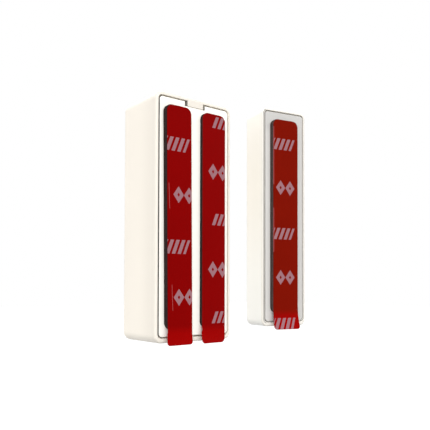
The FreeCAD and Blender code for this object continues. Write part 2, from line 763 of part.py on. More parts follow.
battery_holder = new_body("battery_holder")
holder_rear = f"({battery_y} - holder_rim)"
brick(
    battery_holder, "holder_block", (holder_left, holder_rear, holder_low),
    (
        f"{holder_right} - {holder_left}",
        f"case_depth - case_front_wall - {holder_rear}",
        f"{holder_high} - {holder_low}",
    ),
)
corner_x, corner_z = number(holder_left), number(holder_low)
round_edges(
    battery_holder, "holder_corner", "case_cavity_corner",
    lambda edge: lies_at(edge, "X", corner_x) and lies_at(edge, "Z", corner_z),
)
rod(
    battery_holder, "holder_trough", (battery_x, battery_y, f"{holder_low} + holder_end"), "Z",
    "battery_radius + holder_gap", pocket_long, cut=True,
)
brick(
    battery_holder, "holder_mouth",
    (f"{battery_x} - battery_radius - holder_gap", holder_rear, f"{holder_low} + holder_end"),
    ("2 * (battery_radius + holder_gap)", "holder_rim", pocket_long),
    cut=True,
)
tab_low = f"({board_back} - contact_tab_low)"
negative_z = f"({holder_low} + holder_end)"
positive_z = f"({holder_low} + holder_end + {pocket_long} - contact_thick)"
for end, z_text in (("negative", negative_z), ("positive", positive_z)):
    brick(
        battery_holder, f"{end}_tab_slot",
        (battery_x, f"{tab_low} - contact_slot_gap", f"{z_text} - contact_slot_gap"),
        (
            "battery_radius + 2 * holder_gap + holder_wall",
            "contact_tab_low + 2 * contact_slot_gap",
            "contact_thick + 2 * contact_slot_gap",
        ),
        cut=True,
    )
finish_sensor(battery_holder)

# Battery: steel can, electrode roll, cap with the positive terminal, and sleeve

can_radius = "(battery_radius - sleeve_thick)"
can_top = f"({battery_low} + battery_long)"

battery_can = new_body("battery_can")
rod(
    battery_can, "can_body", (battery_x, battery_y, battery_low), "Z", can_radius, "battery_long",
)
can_ends = (number(battery_low), number(can_top))
round_edges(
    battery_can, "can_rims", "battery_edge",
    lambda edge: lies_at(edge, "Z", can_ends[0]) or lies_at(edge, "Z", can_ends[1]),
)
rod(
    battery_can, "can_bore", (battery_x, battery_y, f"{battery_low} + can_thick"), "Z",
    f"{can_radius} - can_thick", "battery_long", cut=True,
)
finish_sensor(battery_can)

electrode_roll = new_body("electrode_roll")
rod(
    electrode_roll, "roll", (battery_x, battery_y, f"{battery_low} + can_thick + roll_gap"), "Z",
    f"{can_radius} - can_thick - roll_gap",
    "battery_long - can_thick - cap_thick - cap_sink - 2 * roll_gap",
)
finish_sensor(electrode_roll)

battery_cap = new_body("battery_cap")
rod(
    battery_cap, "cap_disc", (battery_x, battery_y, f"{can_top} - cap_sink - cap_thick"), "Z",
    f"{can_radius} - can_thick", "cap_thick",
)
rod(
    battery_cap, "terminal_button", (battery_x, battery_y, f"{can_top} - cap_sink"), "Z",
    "terminal_radius", "terminal_high + cap_sink",
)
finish_sensor(battery_cap)

battery_sleeve = new_body("battery_sleeve")
rod(
    battery_sleeve, "sleeve_body", (battery_x, battery_y, f"{battery_low} + sleeve_end"), "Z",
    "battery_radius", "battery_long - 2 * sleeve_end",
)
rod(
    battery_sleeve, "sleeve_bore", (battery_x, battery_y, f"{battery_low} + sleeve_end"), "Z",
    can_radius, "battery_long - 2 * sleeve_end", cut=True,
)
finish_sensor(battery_sleeve)

# Battery contacts: a folded spring strip at the bottom, a flat strip at the top

negative_contact = new_body("negative_contact")
spring_profile = polygon_sketch(
    negative_contact, "spring_profile",
    [
        (f"{battery_y} - contact_wide", negative_z),
        (board_back, negative_z),
        (board_back, f"{negative_z} + contact_thick"),
        (f"{battery_y} - contact_wide + 4 * contact_thick", f"{negative_z} + contact_thick"),
        (f"{battery_y} + contact_wide / 2", f"{battery_low} - contact_thick"),
        (f"{battery_y} + contact_wide / 2", battery_low),
        (f"{battery_y} + contact_wide / 2 - 2 * contact_thick", battery_low),
        (f"{battery_y} - contact_wide", f"{negative_z} + 2 * contact_thick"),
    ],
    plane="YZ_Plane", depth=battery_x,
)
middle_pad(negative_contact, "spring_strip", spring_profile, "contact_wide")
brick(
    negative_contact, "negative_tab", (battery_x, tab_low, negative_z),
    (f"{leg_left} + contact_tab_end - {battery_x}", "contact_tab_low", "contact_thick"),
)
finish_sensor(negative_contact)

positive_contact = new_body("positive_contact")
brick(
    positive_contact, "positive_strip",
    (f"{battery_x} - contact_wide / 2", f"{battery_y} - contact_wide / 2", positive_z),
    ("contact_wide", f"{board_back} - {battery_y} + contact_wide / 2", "contact_thick"),
)
brick(
    positive_contact, "positive_tab", (battery_x, tab_low, positive_z),
    (f"{leg_left} + contact_tab_end - {battery_x}", "contact_tab_low", "contact_thick"),
)
finish_sensor(positive_contact)

# Reed switch: a glass tube with two wires and two blades, the lower blade moves

reed_x = f"({board_right} - reed_inset)"
reed_y = f"({board_back} - reed_above)"
reed_z = "(case_height / 2)"
reed_low = f"({reed_z} - reed_long / 2)"
reed_high = f"({reed_z} + reed_long / 2)"

reed_glass = new_body("reed_glass")
rod(reed_glass, "glass_tube", (reed_x, reed_y, reed_low), "Z", "reed_radius", "reed_long")
rod(
    reed_glass, "glass_hollow", (reed_x, reed_y, f"{reed_low} + reed_seal"), "Z",
    "reed_radius - reed_glass", "reed_long - 2 * reed_seal", cut=True,
)
rod(
    reed_glass, "glass_lead_bore", (reed_x, reed_y, reed_low), "Z", "reed_lead_radius", "reed_long",
    cut=True,
)
finish_sensor(reed_glass)

lead_bodies = []
for end, low, foot in (
    ("lower", f"{reed_low} - reed_lead_out", f"{reed_low} - reed_lead_out"),
    ("upper", f"{reed_high} - reed_seal", f"{reed_high} + reed_lead_out - 2 * reed_lead_radius"),
):
    lead = new_body(f"reed_lead_{end}")
    rod(lead, f"{end}_wire", (reed_x, reed_y, low), "Z", "reed_lead_radius", "reed_seal + reed_lead_out")
    brick(
        lead, f"{end}_foot", (f"{reed_x} - reed_lead_radius", reed_y, foot),
        ("2 * reed_lead_radius", "reed_above", "2 * reed_lead_radius"),
    )
    lead_bodies.append(lead)
reed_leads = doc.addObject("Part::Compound", "reed_leads")
reed_leads.Links = lead_bodies
finish_sensor(reed_leads)

blade_left = f"{reed_x} - blade_wide / 2"
reed_fixed_blade = new_body("reed_fixed_blade")
brick(
    reed_fixed_blade, "fixed_blade", (blade_left, f"{reed_y} - blade_thick", f"{reed_z} - blade_lap / 2"),
    ("blade_wide", "blade_thick", "reed_long / 2 - reed_seal + blade_lap / 2"),
)
finish_sensor(reed_fixed_blade)

reed_moving_blade = new_body("reed_moving_blade")
brick(
    reed_moving_blade, "moving_blade",
    (blade_left, f"{reed_y} + blade_gap", f"{reed_low} + reed_seal + blade_root_gap"),
    ("blade_wide", "blade_thick", "reed_long / 2 - reed_seal - blade_root_gap + blade_lap / 2"),
)
finish_sensor(reed_moving_blade)

# Radio with its shield and antenna

shield_x = f"({board_left} + shield_inset)"
shield_y = f"({board_back} - shield_high)"
shield_z = f"({board_high} - shield_inset - shield_tall)"

radio_shield = new_body("radio_shield")
brick(
    radio_shield, "shield_can", (shield_x, shield_y, shield_z), ("shield_wide", "shield_high", "shield_tall")
)
brick(
    radio_shield, "shield_inside",
    (f"{shield_x} + shield_wall", f"{shield_y} + shield_wall", f"{shield_z} + shield_wall"),
    ("shield_wide - 2 * shield_wall", "shield_high - shield_wall", "shield_tall - 2 * shield_wall"),
    cut=True,
)
finish_sensor(radio_shield)

radio_chip = new_body("radio_chip")
brick(
    radio_chip, "radio_package",
    (
        f"{shield_x} + (shield_wide - radio_chip_size) / 2",
        f"{board_back} - radio_chip_high",
        f"{shield_z} + (shield_tall - radio_chip_size) / 2",
    ),
    ("radio_chip_size", "radio_chip_high", "radio_chip_size"),
)
finish_sensor(radio_chip)

antenna_x = f"({board_right} - antenna_inset - antenna_wide)"
antenna_y = f"({board_back} - antenna_high)"
antenna_z = f"({board_high} - antenna_drop - antenna_tall)"

antenna = new_body("antenna")
brick(
    antenna, "antenna_plate", (antenna_x, antenna_y, antenna_z),
    ("antenna_wide", "antenna_thick", "antenna_tall"),
)
for leg, offset in (("ground", "0"), ("feed", "antenna_feed")):
    brick(
        antenna, f"antenna_{leg}_leg", (f"{antenna_x} + {offset}", antenna_y, antenna_z),
        ("antenna_leg", "antenna_high", "antenna_thick"),
    )
finish_sensor(antenna)

# Other parts on the board

processor_x = f"({screw_left} + screw_head_radius + processor_gap)"
processor_right = f"({processor_x} + processor_size)"

processor = new_body("processor")
brick(
    processor, "processor_package",
    (processor_x, f"{board_back} - processor_high", f"{shoulder} + processor_rise"),
    ("processor_size", "processor_high", "processor_size"),
)
finish_sensor(processor)

clock_crystal = new_body("clock_crystal")
brick(
    clock_crystal, "crystal_can",
    (f"{processor_right} + crystal_gap", f"{board_back} - crystal_high", f"{shoulder} + crystal_rise"),
    ("crystal_wide", "crystal_high", "crystal_tall"),
)
crystal_back = number(f"{board_back} - crystal_high")
round_edges(clock_crystal, "crystal_round", "crystal_high / 4", lambda edge: lies_at(edge, "Y", crystal_back))
finish_sensor(clock_crystal)

storage_capacitor = new_body("storage_capacitor")
rod(
    storage_capacitor, "capacitor_can",
    (
        f"{processor_right} + capacitor_gap + capacitor_radius",
        f"{board_back} - capacitor_high",
        f"{shoulder} + capacitor_rise",
    ),
    "Y", "capacitor_radius", "capacitor_high",
)
capacitor_back = number(f"{board_back} - capacitor_high")
round_edges(
    storage_capacitor, "capacitor_rim", "capacitor_radius / 6",
    lambda edge: lies_at(edge, "Y", capacitor_back),
)
finish_sensor(storage_capacitor)


def push_switch(label, x_text, z_text, high, bore_radius, bore_deep):
    """Makes a square switch body on the board, with a bore for its button."""
    body = new_body(label)
    brick(
        body, label + "_body",
        (f"{x_text} - switch_size / 2", f"{board_back} - {high}", f"{z_text} - switch_size / 2"),
        ("switch_size", high, "switch_size"),
    )
    rod(
        body, label + "_bore", (x_text, f"{board_back} - {high}", z_text), "Y", bore_radius, bore_deep,
        cut=True,
    )
    finish_sensor(body)


switch_x = f"({shield_x} + shield_wide + switch_gap + switch_size / 2)"
pairing_z = f"({board_high} - pairing_drop)"
tamper_z = f"({board_high} - tamper_drop)"


# Pairing switch, pressed towards the front when the case is off its cover

push_switch(
    "pairing_switch", switch_x, pairing_z, "pairing_high", "pairing_button_radius + plunger_side_gap",
    "plunger_root + pairing_travel + plunger_foot_gap",
)
pairing_button = new_body("pairing_button")
rod(
    pairing_button, "pairing_cap",
    (switch_x, f"{board_back} - pairing_high - pairing_button_out", pairing_z), "Y",
    "pairing_button_radius", "pairing_button_out + plunger_root",
)
finish_sensor(pairing_button)

# Tamper switch, whose plunger the back cover holds pressed in. Its plunger keeps
# its root in the bore when it has sprung all the way out.

push_switch(
    "tamper_switch", switch_x, tamper_z, "tamper_high", "tamper_plunger_radius + plunger_side_gap",
    "plunger_root + tamper_travel + plunger_foot_gap",
)
tamper_plunger = new_body("tamper_plunger")
rod(
    tamper_plunger, "plunger_rod", (switch_x, "cover_thick + tamper_touch", tamper_z), "Y",
    "tamper_plunger_radius",
    f"{board_back} - tamper_high + plunger_root + tamper_travel - cover_thick - tamper_touch",
)
finish_sensor(tamper_plunger)

# Status light and the light pipe that carries it through the front wall

status_light = new_body("status_light")
brick(
    status_light, "diode", ("(case_width - led_wide) / 2", board_front, f"{light_z} - led_tall / 2"),
    ("led_wide", "led_high", "led_tall"),
)
finish_sensor(status_light)

light_pipe = new_body("light_pipe")
pipe_start = f"({board_front} + led_high + pipe_air)"
rod(
    light_pipe, "pipe_rod", ("case_width / 2", pipe_start, light_z), "Y", "pipe_radius",
    f"case_depth - {pipe_start}",
)
rod(
    light_pipe, "pipe_flange",
    ("case_width / 2", "case_depth - case_front_wall - pipe_flange_high", light_z), "Y",
    "pipe_flange_radius", "pipe_flange_high",
)
finish_sensor(light_pipe)

# Magnet case, with ribs round the bar magnet and sockets for the cover's pins

magnet_case = shell("magnet_case", "shell", "lid")
floor_y = "(shell_depth - shell_front_wall)"
bar_z = "(shell_height / 2)"
bar_low = f"({bar_z} - bar_long / 2)"
rib_y = f"{floor_y} - bar_rib_high"
for side, x_text in (
    ("left", "shell_width / 2 - bar_wide / 2 - bar_gap - bar_rib"),
    ("right", "shell_width / 2 + bar_wide / 2 + bar_gap"),
):
    brick(
        magnet_case, f"bar_rib_{side}", (x_text, rib_y, f"{bar_low} - bar_gap"),
        ("bar_rib", "bar_rib_high", "bar_long + 2 * bar_gap"),
    )
for end, z_text in (("low", f"{bar_low} - bar_gap - bar_rib"), ("high", f"{bar_low} + bar_long + bar_gap")):
    brick(
        magnet_case, f"bar_stop_{end}", ("shell_width / 2 - bar_wide / 2", rib_y, z_text),
        ("bar_wide", "bar_rib_high", "bar_rib"),
    )
PINS = [("low", "lid_pin_inset"), ("high", "shell_height - lid_pin_inset")]
for end, z_text in PINS:
    rod(
        magnet_case, f"pin_socket_{end}", ("shell_width / 2", "lid_thick + lid_seat", z_text), "Y",
        "lid_pin_radius + lid_pin_gap + socket_wall", f"{floor_y} - lid_thick - lid_seat",
    )
    rod(
        magnet_case, f"pin_bore_{end}", ("shell_width / 2", "lid_thick + lid_seat", z_text), "Y",
        "lid_pin_radius + lid_pin_gap", "lid_pin_long", cut=True,
    )
finish_magnet(magnet_case)

# Magnet cover

magnet_cover = new_body("magnet_cover")
lid_outline = rounded_sketch(
    magnet_cover, "lid_outline", "shell_lip + lid_gap", "shell_lip + lid_gap",
    "shell_width - shell_lip - lid_gap", "shell_height - shell_lip - lid_gap",
    "shell_corner - shell_lip - lid_gap",
)
pad(magnet_cover, "lid_plate", lid_outline, "lid_thick")
round_edges(magnet_cover, "lid_round", "lid_edge", lambda edge: lies_at(edge, "Y", 0))
for end, z_text in PINS:
    rod(
        magnet_cover, f"lid_pin_{end}", ("shell_width / 2", "lid_thick", z_text), "Y", "lid_pin_radius",
        "lid_pin_long",
    )
finish_magnet(magnet_cover)

# Bar magnet and the foam pad that presses on it

bar_magnet = new_body("bar_magnet")
brick(
    bar_magnet, "bar", ("(shell_width - bar_wide) / 2", f"{floor_y} - bar_thick", bar_low),
    ("bar_wide", "bar_thick", "bar_long"),
)
finish_magnet(bar_magnet)

magnet_pad = new_body("magnet_pad")
brick(
    magnet_pad, "pad_block",
    ("(shell_width - pad_wide) / 2", "lid_thick + pad_squeeze_gap", f"{bar_z} - pad_long / 2"),
    ("pad_wide", f"{floor_y} - bar_thick - lid_thick - pad_squeeze_gap", "pad_long"),
)
finish_magnet(magnet_pad)

# Tape strip of the magnet unit

magnet_foam = foam_strip(
    "magnet_tape_foam", "magnet_strip_x", "magnet_strip_wide", "magnet_foam_end",
    "shell_height - magnet_strip_top", OUTER,
)
finish_magnet(magnet_foam)
magnet_liner = liner(
    "magnet_tape_liner", "magnet_strip_x", "magnet_strip_wide", "magnet_foam_end",
    "shell_height - magnet_strip_top", "magnet_foam_end + magnet_tail_drop", OUTER,
)
finish_magnet(magnet_liner)

# Checking and writing

doc.recompute()
for item in doc.Objects:
    bad = {"Invalid", "Error"} & set(item.State)
    if bad:
        raise RuntimeError(f"{item.Label} is {bad}")
for item in subparts:
    if item.Shape.isNull() or not item.Shape.isValid() or not item.Shape.Solids:
        raise RuntimeError(f"{item.Label} has no valid shape")

os.makedirs("parts", exist_ok=True)
for item in subparts:
    item.Shape.exportStep(f"parts/{item.Label}.step")
    box = item.Shape.BoundBox
    print(
        f"{item.Label}: {len(item.Shape.Solids)} solid(s), {item.Shape.Volume:.2f} mm3,"
        f" {box.XLength:.2f} x {box.YLength:.2f} x {box.ZLength:.2f} mm"
    )
print(f"{len(subparts)} sub-parts")
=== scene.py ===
"""Door sensor seen from behind: a sensor unit on its taped back cover, and its magnet unit."""

import json
import logging
import math
from dataclasses import dataclass, replace
from enum import Enum
from typing import Any, Callable, Sequence

import bmesh
import bpy
from mathutils import Matrix, Vector


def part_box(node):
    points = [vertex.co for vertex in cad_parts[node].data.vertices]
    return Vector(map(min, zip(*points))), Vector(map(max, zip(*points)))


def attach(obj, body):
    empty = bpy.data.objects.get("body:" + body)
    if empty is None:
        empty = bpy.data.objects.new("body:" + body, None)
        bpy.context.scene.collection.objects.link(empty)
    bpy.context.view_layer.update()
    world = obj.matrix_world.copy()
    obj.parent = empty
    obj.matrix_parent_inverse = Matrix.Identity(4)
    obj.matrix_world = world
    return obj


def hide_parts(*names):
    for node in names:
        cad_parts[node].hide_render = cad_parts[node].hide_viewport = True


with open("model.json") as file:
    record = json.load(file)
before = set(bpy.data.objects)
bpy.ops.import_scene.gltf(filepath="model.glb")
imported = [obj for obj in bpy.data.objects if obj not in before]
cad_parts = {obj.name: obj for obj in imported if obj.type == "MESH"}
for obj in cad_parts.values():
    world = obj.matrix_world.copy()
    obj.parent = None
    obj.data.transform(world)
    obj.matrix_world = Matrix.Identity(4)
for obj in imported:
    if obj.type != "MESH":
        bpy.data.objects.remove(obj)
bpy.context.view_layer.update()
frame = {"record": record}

MM = 0.001
HAIR = 1e-6
"""A length too small to see, in metres."""

LOG = logging.getLogger("door_sensor")
Colour = tuple[float, float, float]
Point = tuple[float, float, float]
WHITE: Colour = (1.0, 1.0, 1.0)
BLACK: Colour = (0.0, 0.0, 0.0)


class Axis(Enum):
    """An axis of the part, or of a piece's own frame."""

    X = 0
    Y = 1
    Z = 2


# Shader graphs


class Socket:
    """One output of a shader node, which takes part in sums as a number does."""

    def __init__(self, tree: "Tree", source: Any) -> None:
        """Keeps the tree and the node output.

        Args:
            tree: The tree that the output belongs to.
            source: The node output.
        """
        self.tree = tree
        self.source = source

    def math(self, operation: str, *others: Any) -> "Socket":
        """Returns the result of a Math node whose first input is this output."""
        return self.tree.math(operation, self, *others)

    def __add__(self, other: Any) -> "Socket":
        """Adds, on either side of the sign."""
        return self.math("ADD", other)

    __radd__ = __add__

    def __sub__(self, other: Any) -> "Socket":
        """Subtracts."""
        return self.math("SUBTRACT", other)

    def __rsub__(self, other: Any) -> "Socket":
        """Subtracts from a number."""
        return self.tree.math("SUBTRACT", other, self)

    def __mul__(self, other: Any) -> "Socket":
        """Multiplies, on either side of the sign."""
        return self.math("MULTIPLY", other)

    __rmul__ = __mul__

    def __truediv__(self, other: Any) -> "Socket":
        """Divides."""
        return self.math("DIVIDE", other)

    def __lt__(self, other: Any) -> "Socket":
        """Is 1 where this is below the other value, and 0 elsewhere."""
        return self.math("LESS_THAN", other)

    def __gt__(self, other: Any) -> "Socket":
        """Is 1 where this is above the other value, and 0 elsewhere."""
        return self.math("GREATER_THAN", other)

    def __abs__(self) -> "Socket":
        """Is the size without its sign."""
        return self.math("ABSOLUTE")


class Tree:
    """The node tree of a material or a world, and the one way to add nodes to it."""

    def __init__(self, owner: bpy.types.Material | bpy.types.World) -> None:
        """Empties the owner's node tree and adds its output.

        Args:
            owner: The material or world.
        """
        owner.use_nodes = True
        self.tree = owner.node_tree
        self.tree.nodes.clear()
        self.output = self.tree.nodes.new("ShaderNodeOutput" + type(owner).__name__)

    def feed(self, target: Any, value: Any) -> None:
        """Links a socket to a node input, or sets the input to a plain value.

        Args:
            target: The node input.
            value: A Socket, a number, a vector or a colour.
        """
        if isinstance(value, Socket):
            self.tree.links.new(value.source, target)
        elif hasattr(target.default_value, "__len__") and len(target.default_value) == 4:
            target.default_value = (*value, 1.0)
        else:
            target.default_value = value

    def surface(self, shader: Socket) -> None:
        """Feeds a shader to the output."""
        self.feed(self.output.inputs["Surface"], shader)

    def node(
        self, kind: str, settings: dict[str, Any], inputs: dict[Any, Any], output: Any = 0
    ) -> Socket:
        """Adds a node.

        Args:
            kind: The node's type, without its ShaderNode prefix.
            settings: Properties to set first.
            inputs: Values or sockets, by input name or number.
            output: Name or number of the output to return.

        Returns:
            The chosen output.
        """
        made = self.tree.nodes.new("ShaderNode" + kind)
        for name, value in settings.items():
            setattr(made, name, value)
        for name, value in inputs.items():
            self.feed(made.inputs[name], value)
        return Socket(self, made.outputs[output])

    def math(self, operation: str, *values: Any) -> Socket:
        """Adds a Math node and returns its output."""
        return self.node("Math", {"operation": operation}, dict(enumerate(values)))


class Graph(Tree):
    """The node tree of one finish, which ends in a Principled shader."""

    def __init__(self, name: str, origin: Point = (0, 0, 0), turn: Point = (0, 0, 0)) -> None:
        """Starts a material, whose patterns are read in a frame of its own.

        Args:
            name: The material's name.
            origin: The frame's origin, in metres.
            turn: The frame's Euler angles, in radians.
        """
        self.material = bpy.data.materials.new(name)
        super().__init__(self.material)
        self.here = self.place(origin, turn)

    def mix(self, factor: Any, first: Any, second: Any) -> Socket:
        """Mixes two colours.

        Args:
            factor: 0 gives the first colour and 1 the second.
            first: A colour or socket.
            second: A colour or socket.

        Returns:
            The mixed colour.
        """
        settings = {"data_type": "RGBA"}
        return self.node("Mix", settings, {0: factor, 6: first, 7: second}, 2)

    def place(self, origin: Point, turn: Point) -> Socket:
        """Gives the place on the object, read in a frame.

        Args:
            origin: The frame's origin, in metres.
            turn: The frame's Euler angles, in radians.

        Returns:
            The place in that frame, in metres.
        """
        coordinates = self.node("TexCoord", {}, {}, "Object")
        inputs = {"Vector": coordinates, "Location": origin, "Rotation": turn}
        return self.node("Mapping", {"vector_type": "TEXTURE"}, inputs)

    def axes(self, place: Socket | None = None) -> tuple[Socket, Socket, Socket]:
        """Splits the graph's own place or another one into coordinates, in millimetres."""
        inputs = {0: place or self.here}
        return tuple(self.node("SeparateXYZ", {}, inputs, axis.name) / MM for axis in Axis)

    def rise(self, value: Socket, start: float, end: float) -> Socket:
        """Gives a smooth rise from 0 where the value is at the start to 1 at the end."""
        inputs = {"Value": value, "From Min": start, "From Max": end}
        return self.node("MapRange", {"interpolation_type": "SMOOTHSTEP"}, inputs)

    def noise(
        self, scale: float, detail: float, roughness: float = 0.5, place: Socket | None = None
    ) -> Socket:
        """Gives a noise value round 0.5.

        Args:
            scale: Its scale, per metre.
            detail: Number of finer octaves.
            roughness: Weight of the finer octaves.
            place: Where it is read, if not at the graph's own place.

        Returns:
            The noise value.
        """
        where = place or self.here
        inputs = {"Vector": where, "Scale": scale, "Detail": detail, "Roughness": roughness}
        return self.node("TexNoise", {}, inputs, "Fac")

    def bump(
        self, height: Socket, depth: float, strength: float, under: Socket | None = None
    ) -> Socket:
        """Turns a height into a normal.

        Args:
            height: A value from 0 to 1.
            depth: What a height of 1 stands for, in metres.
            strength: Share of the bump that shows.
            under: A normal that lies below this one.

        Returns:
            The normal.
        """
        inputs = {"Height": height, "Distance": depth, "Strength": strength}
        if under is not None:
            inputs["Normal"] = under
        return self.node("Bump", {}, inputs)

    def finish(self, **inputs: Any) -> bpy.types.Material:
        """Adds the shader.

        Args:
            inputs: Values or sockets, by the inputs' names with underscores for spaces.

        Returns:
            The finished material.
        """
        named = {name.replace("_", " "): value for name, value in inputs.items()}
        self.surface(self.node("BsdfPrincipled", {}, named))
        return self.material


# Shades: tones on part of a piece, most of them painted shade and painted light, with their places
# in millimetres


@dataclass(frozen=True)
class Shade:
    """A part of a piece where the colour is multiplied by a tone."""

    tone: float

    def mask(self, graph: Graph) -> Socket:
        """Gives 1 where the shade lies. Each kind of shade has its own."""
        raise NotImplementedError


@dataclass(frozen=True)
class PlateEdge(Shade):
    """A band along the outline of a plate with round corners, in the plate's own frame.

    The band goes from skin inside the outline to reach outside it. It ends at until across the
    plate and at below in its depth.
    """

    centre: tuple[float, float]
    half: tuple[float, float]
    radius: float
    origin: Point = (0.0, 0.0, 0.0)
    turn: float = 0.0
    skin: float = 0.05
    reach: float = 0.2
    until: float = -5.9
    below: float = 2.35

    def mask(self, graph: Graph) -> Socket:
        """Gives 1 in the band.

        Args:
            graph: The material's graph.

        Returns:
            The mask.
        """
        origin = tuple(value * MM for value in self.origin)
        place = graph.place(origin, (0.0, 0.0, math.radians(self.turn)))
        across, depth, along = graph.axes(place)
        over = [
            abs(value - middle) - (half - self.radius)
            for value, middle, half in zip((across, along), self.centre, self.half)
        ]
        clipped = [value.math("MAXIMUM", 0.0) for value in over]
        corner = (clipped[0] * clipped[0] + clipped[1] * clipped[1]).math("SQRT")
        out = corner + over[0].math("MAXIMUM", over[1]).math("MINIMUM", 0.0)
        band = (out > self.radius - self.skin) * (out < self.radius + self.reach)
        return band * (across < self.until) * (depth < self.below)


@dataclass(frozen=True)
class Patch(Shade):
    """A shade between two corners."""

    low: Point
    high: Point

    def mask(self, graph: Graph) -> Socket:
        """Gives 1 between the corners.

        Args:
            graph: The material's graph.

        Returns:
            The mask.
        """
        inside: Any = 1.0
        for value, low, high in zip(graph.axes(), self.low, self.high):
            inside = (value > low) * (value < high) * inside
        return inside


@dataclass(frozen=True)
class Fade(Shade):
    """A shade that comes up smoothly along one axis."""

    axis: Axis
    start: float
    end: float

    def mask(self, graph: Graph) -> Socket:
        """Rises from 0 at the start to 1 at the end."""
        return graph.rise(graph.axes()[self.axis.value], self.start, self.end)


# Finishes: scales are per metre, depths are in metres


@dataclass(frozen=True)
class Finish:
    """What each finish has: its material's name and its main colour."""

    name: str
    colour: Colour

    def toned(self, scale: float, lift: float = 0.0) -> Colour:
        """Returns the colour multiplied and lifted, with no channel above 1."""
        return tuple(min(channel * scale + lift, 1.0) for channel in self.colour)

    def make(self) -> bpy.types.Material:
        """Makes the material. Each kind of finish has its own."""
        raise NotImplementedError


@dataclass(frozen=True)
class MouldedPlastic(Finish):
    """Injection moulded plastic with the fine grain of an eroded tool."""

    roughness: float = 0.42
    grain: float = 6000.0
    grain_depth: float = 6e-6
    ripple: float = 160.0
    ripple_depth: float = 2e-5
    cloud: float = 45.0
    mottle: float = 0.02
    gloss: float = 0.35
    shades: tuple[Shade, ...] = ()

    def make(self) -> bpy.types.Material:
        """Makes the material.

        Returns:
            The material.
        """
        graph = Graph(self.name)
        cloud = graph.noise(self.cloud, 3.0)
        grain = graph.noise(self.grain, 1.0)
        ripple = graph.noise(self.ripple, 1.0)
        under = graph.bump(ripple, self.ripple_depth, 0.4)
        colour = graph.mix(cloud, self.toned(1 - self.mottle * 2), self.toned(1 + self.mottle))
        # The shades paint shade and light by place onto the colour.
        for shade in self.shades:
            colour = graph.mix(shade.mask(graph), colour, self.toned(shade.tone))
        return graph.finish(
            Base_Color=colour,
            Roughness=self.roughness + 0.12 * (grain - 0.5) + 0.06 * (cloud - 0.5),
            Specular_IOR_Level=self.gloss,
            Normal=graph.bump(grain, self.grain_depth, 0.6, under),
        )


@dataclass(frozen=True)
class CutFoam(Finish):
    """Closed cell foam whose cut sides show the cells."""

    roughness: float = 0.62
    cell: float = 2600.0
    cell_depth: float = 9e-5
    smear: float = 700.0
    smear_depth: float = 6e-5
    gloss: float = 0.15

    def make(self) -> bpy.types.Material:
        """Makes the material.

        Returns:
            The material.
        """
        graph = Graph(self.name)
        inputs = {"Vector": graph.here, "Scale": self.cell}
        cells = graph.node("TexVoronoi", {"feature": "F1"}, inputs, "Distance")
        smear = graph.noise(self.smear, 4.0, 0.6)
        under = graph.bump(smear, self.smear_depth, 0.6)
        return graph.finish(
            Base_Color=graph.mix(smear * cells * 1.6, self.colour, self.toned(2.6, 0.008)),
            Roughness=self.roughness + 0.2 * smear,
            Specular_IOR_Level=self.gloss,
            Normal=graph.bump(cells, self.cell_depth, 0.8, under),
        )


@dataclass(frozen=True)
class Print:
    """The repeated marks on a release film: slanted bars, then diamonds, and so on.

    Places and sizes are in millimetres of the strip's own frame.
    """

    colour: Colour = (0.31, 0.167, 0.19)
    pitch: float = 17.3
    phase: float = 0.0
    flip: bool = False
    bars_from: float = -6.0
    bars_to: float = 3.4
    bars_half: float = 2.35
    bars_drop: float = 0.3
    bar_pitch: float = 2.35
    bar_share: float = 0.6
    bar_slant: float = 0.42
    diamonds_from: float = -2.6
    diamonds_to: float = 6.2
    diamonds_half: float = 2.85
    diamonds_drop: float = 0.0
    diamond_pitch: float = 4.4
    diamond_hole: float = 0.25
    diamond_taper: float = 2.04

    def mask(self, across: Socket, along: Socket) -> Socket:
        """Draws the marks.

        Args:
            across: Place across the strip.
            along: Place along the strip.

        Returns:
            1 on ink and 0 beside it.
        """
        down = along - self.phase
        count = (down / self.pitch + 0.5).math("FLOOR")
        row = down - count * self.pitch
        odd = count.math("FLOORED_MODULO", 2.0) > 0.5
        if self.flip:
            odd = 1 - odd
        tall = row + self.bars_drop
        lane = across - tall * self.bar_slant
        bars = (lane / self.bar_pitch).math("FLOORED_MODULO", 1.0) < self.bar_share
        bars = bars * (abs(tall) < self.bars_half)
        bars = bars * (lane > self.bars_from) * (lane < self.bars_to)
        cell = (across - self.diamonds_from) / self.diamond_pitch
        side = abs(cell.math("FLOORED_MODULO", 1.0) - 0.5) * self.diamond_taper
        reach = side + abs(row + self.diamonds_drop) / self.diamonds_half
        diamonds = (reach < 1) * (reach > self.diamond_hole)
        diamonds = diamonds * (across > self.diamonds_from) * (across < self.diamonds_to)
        return odd * bars + (1 - odd) * diamonds


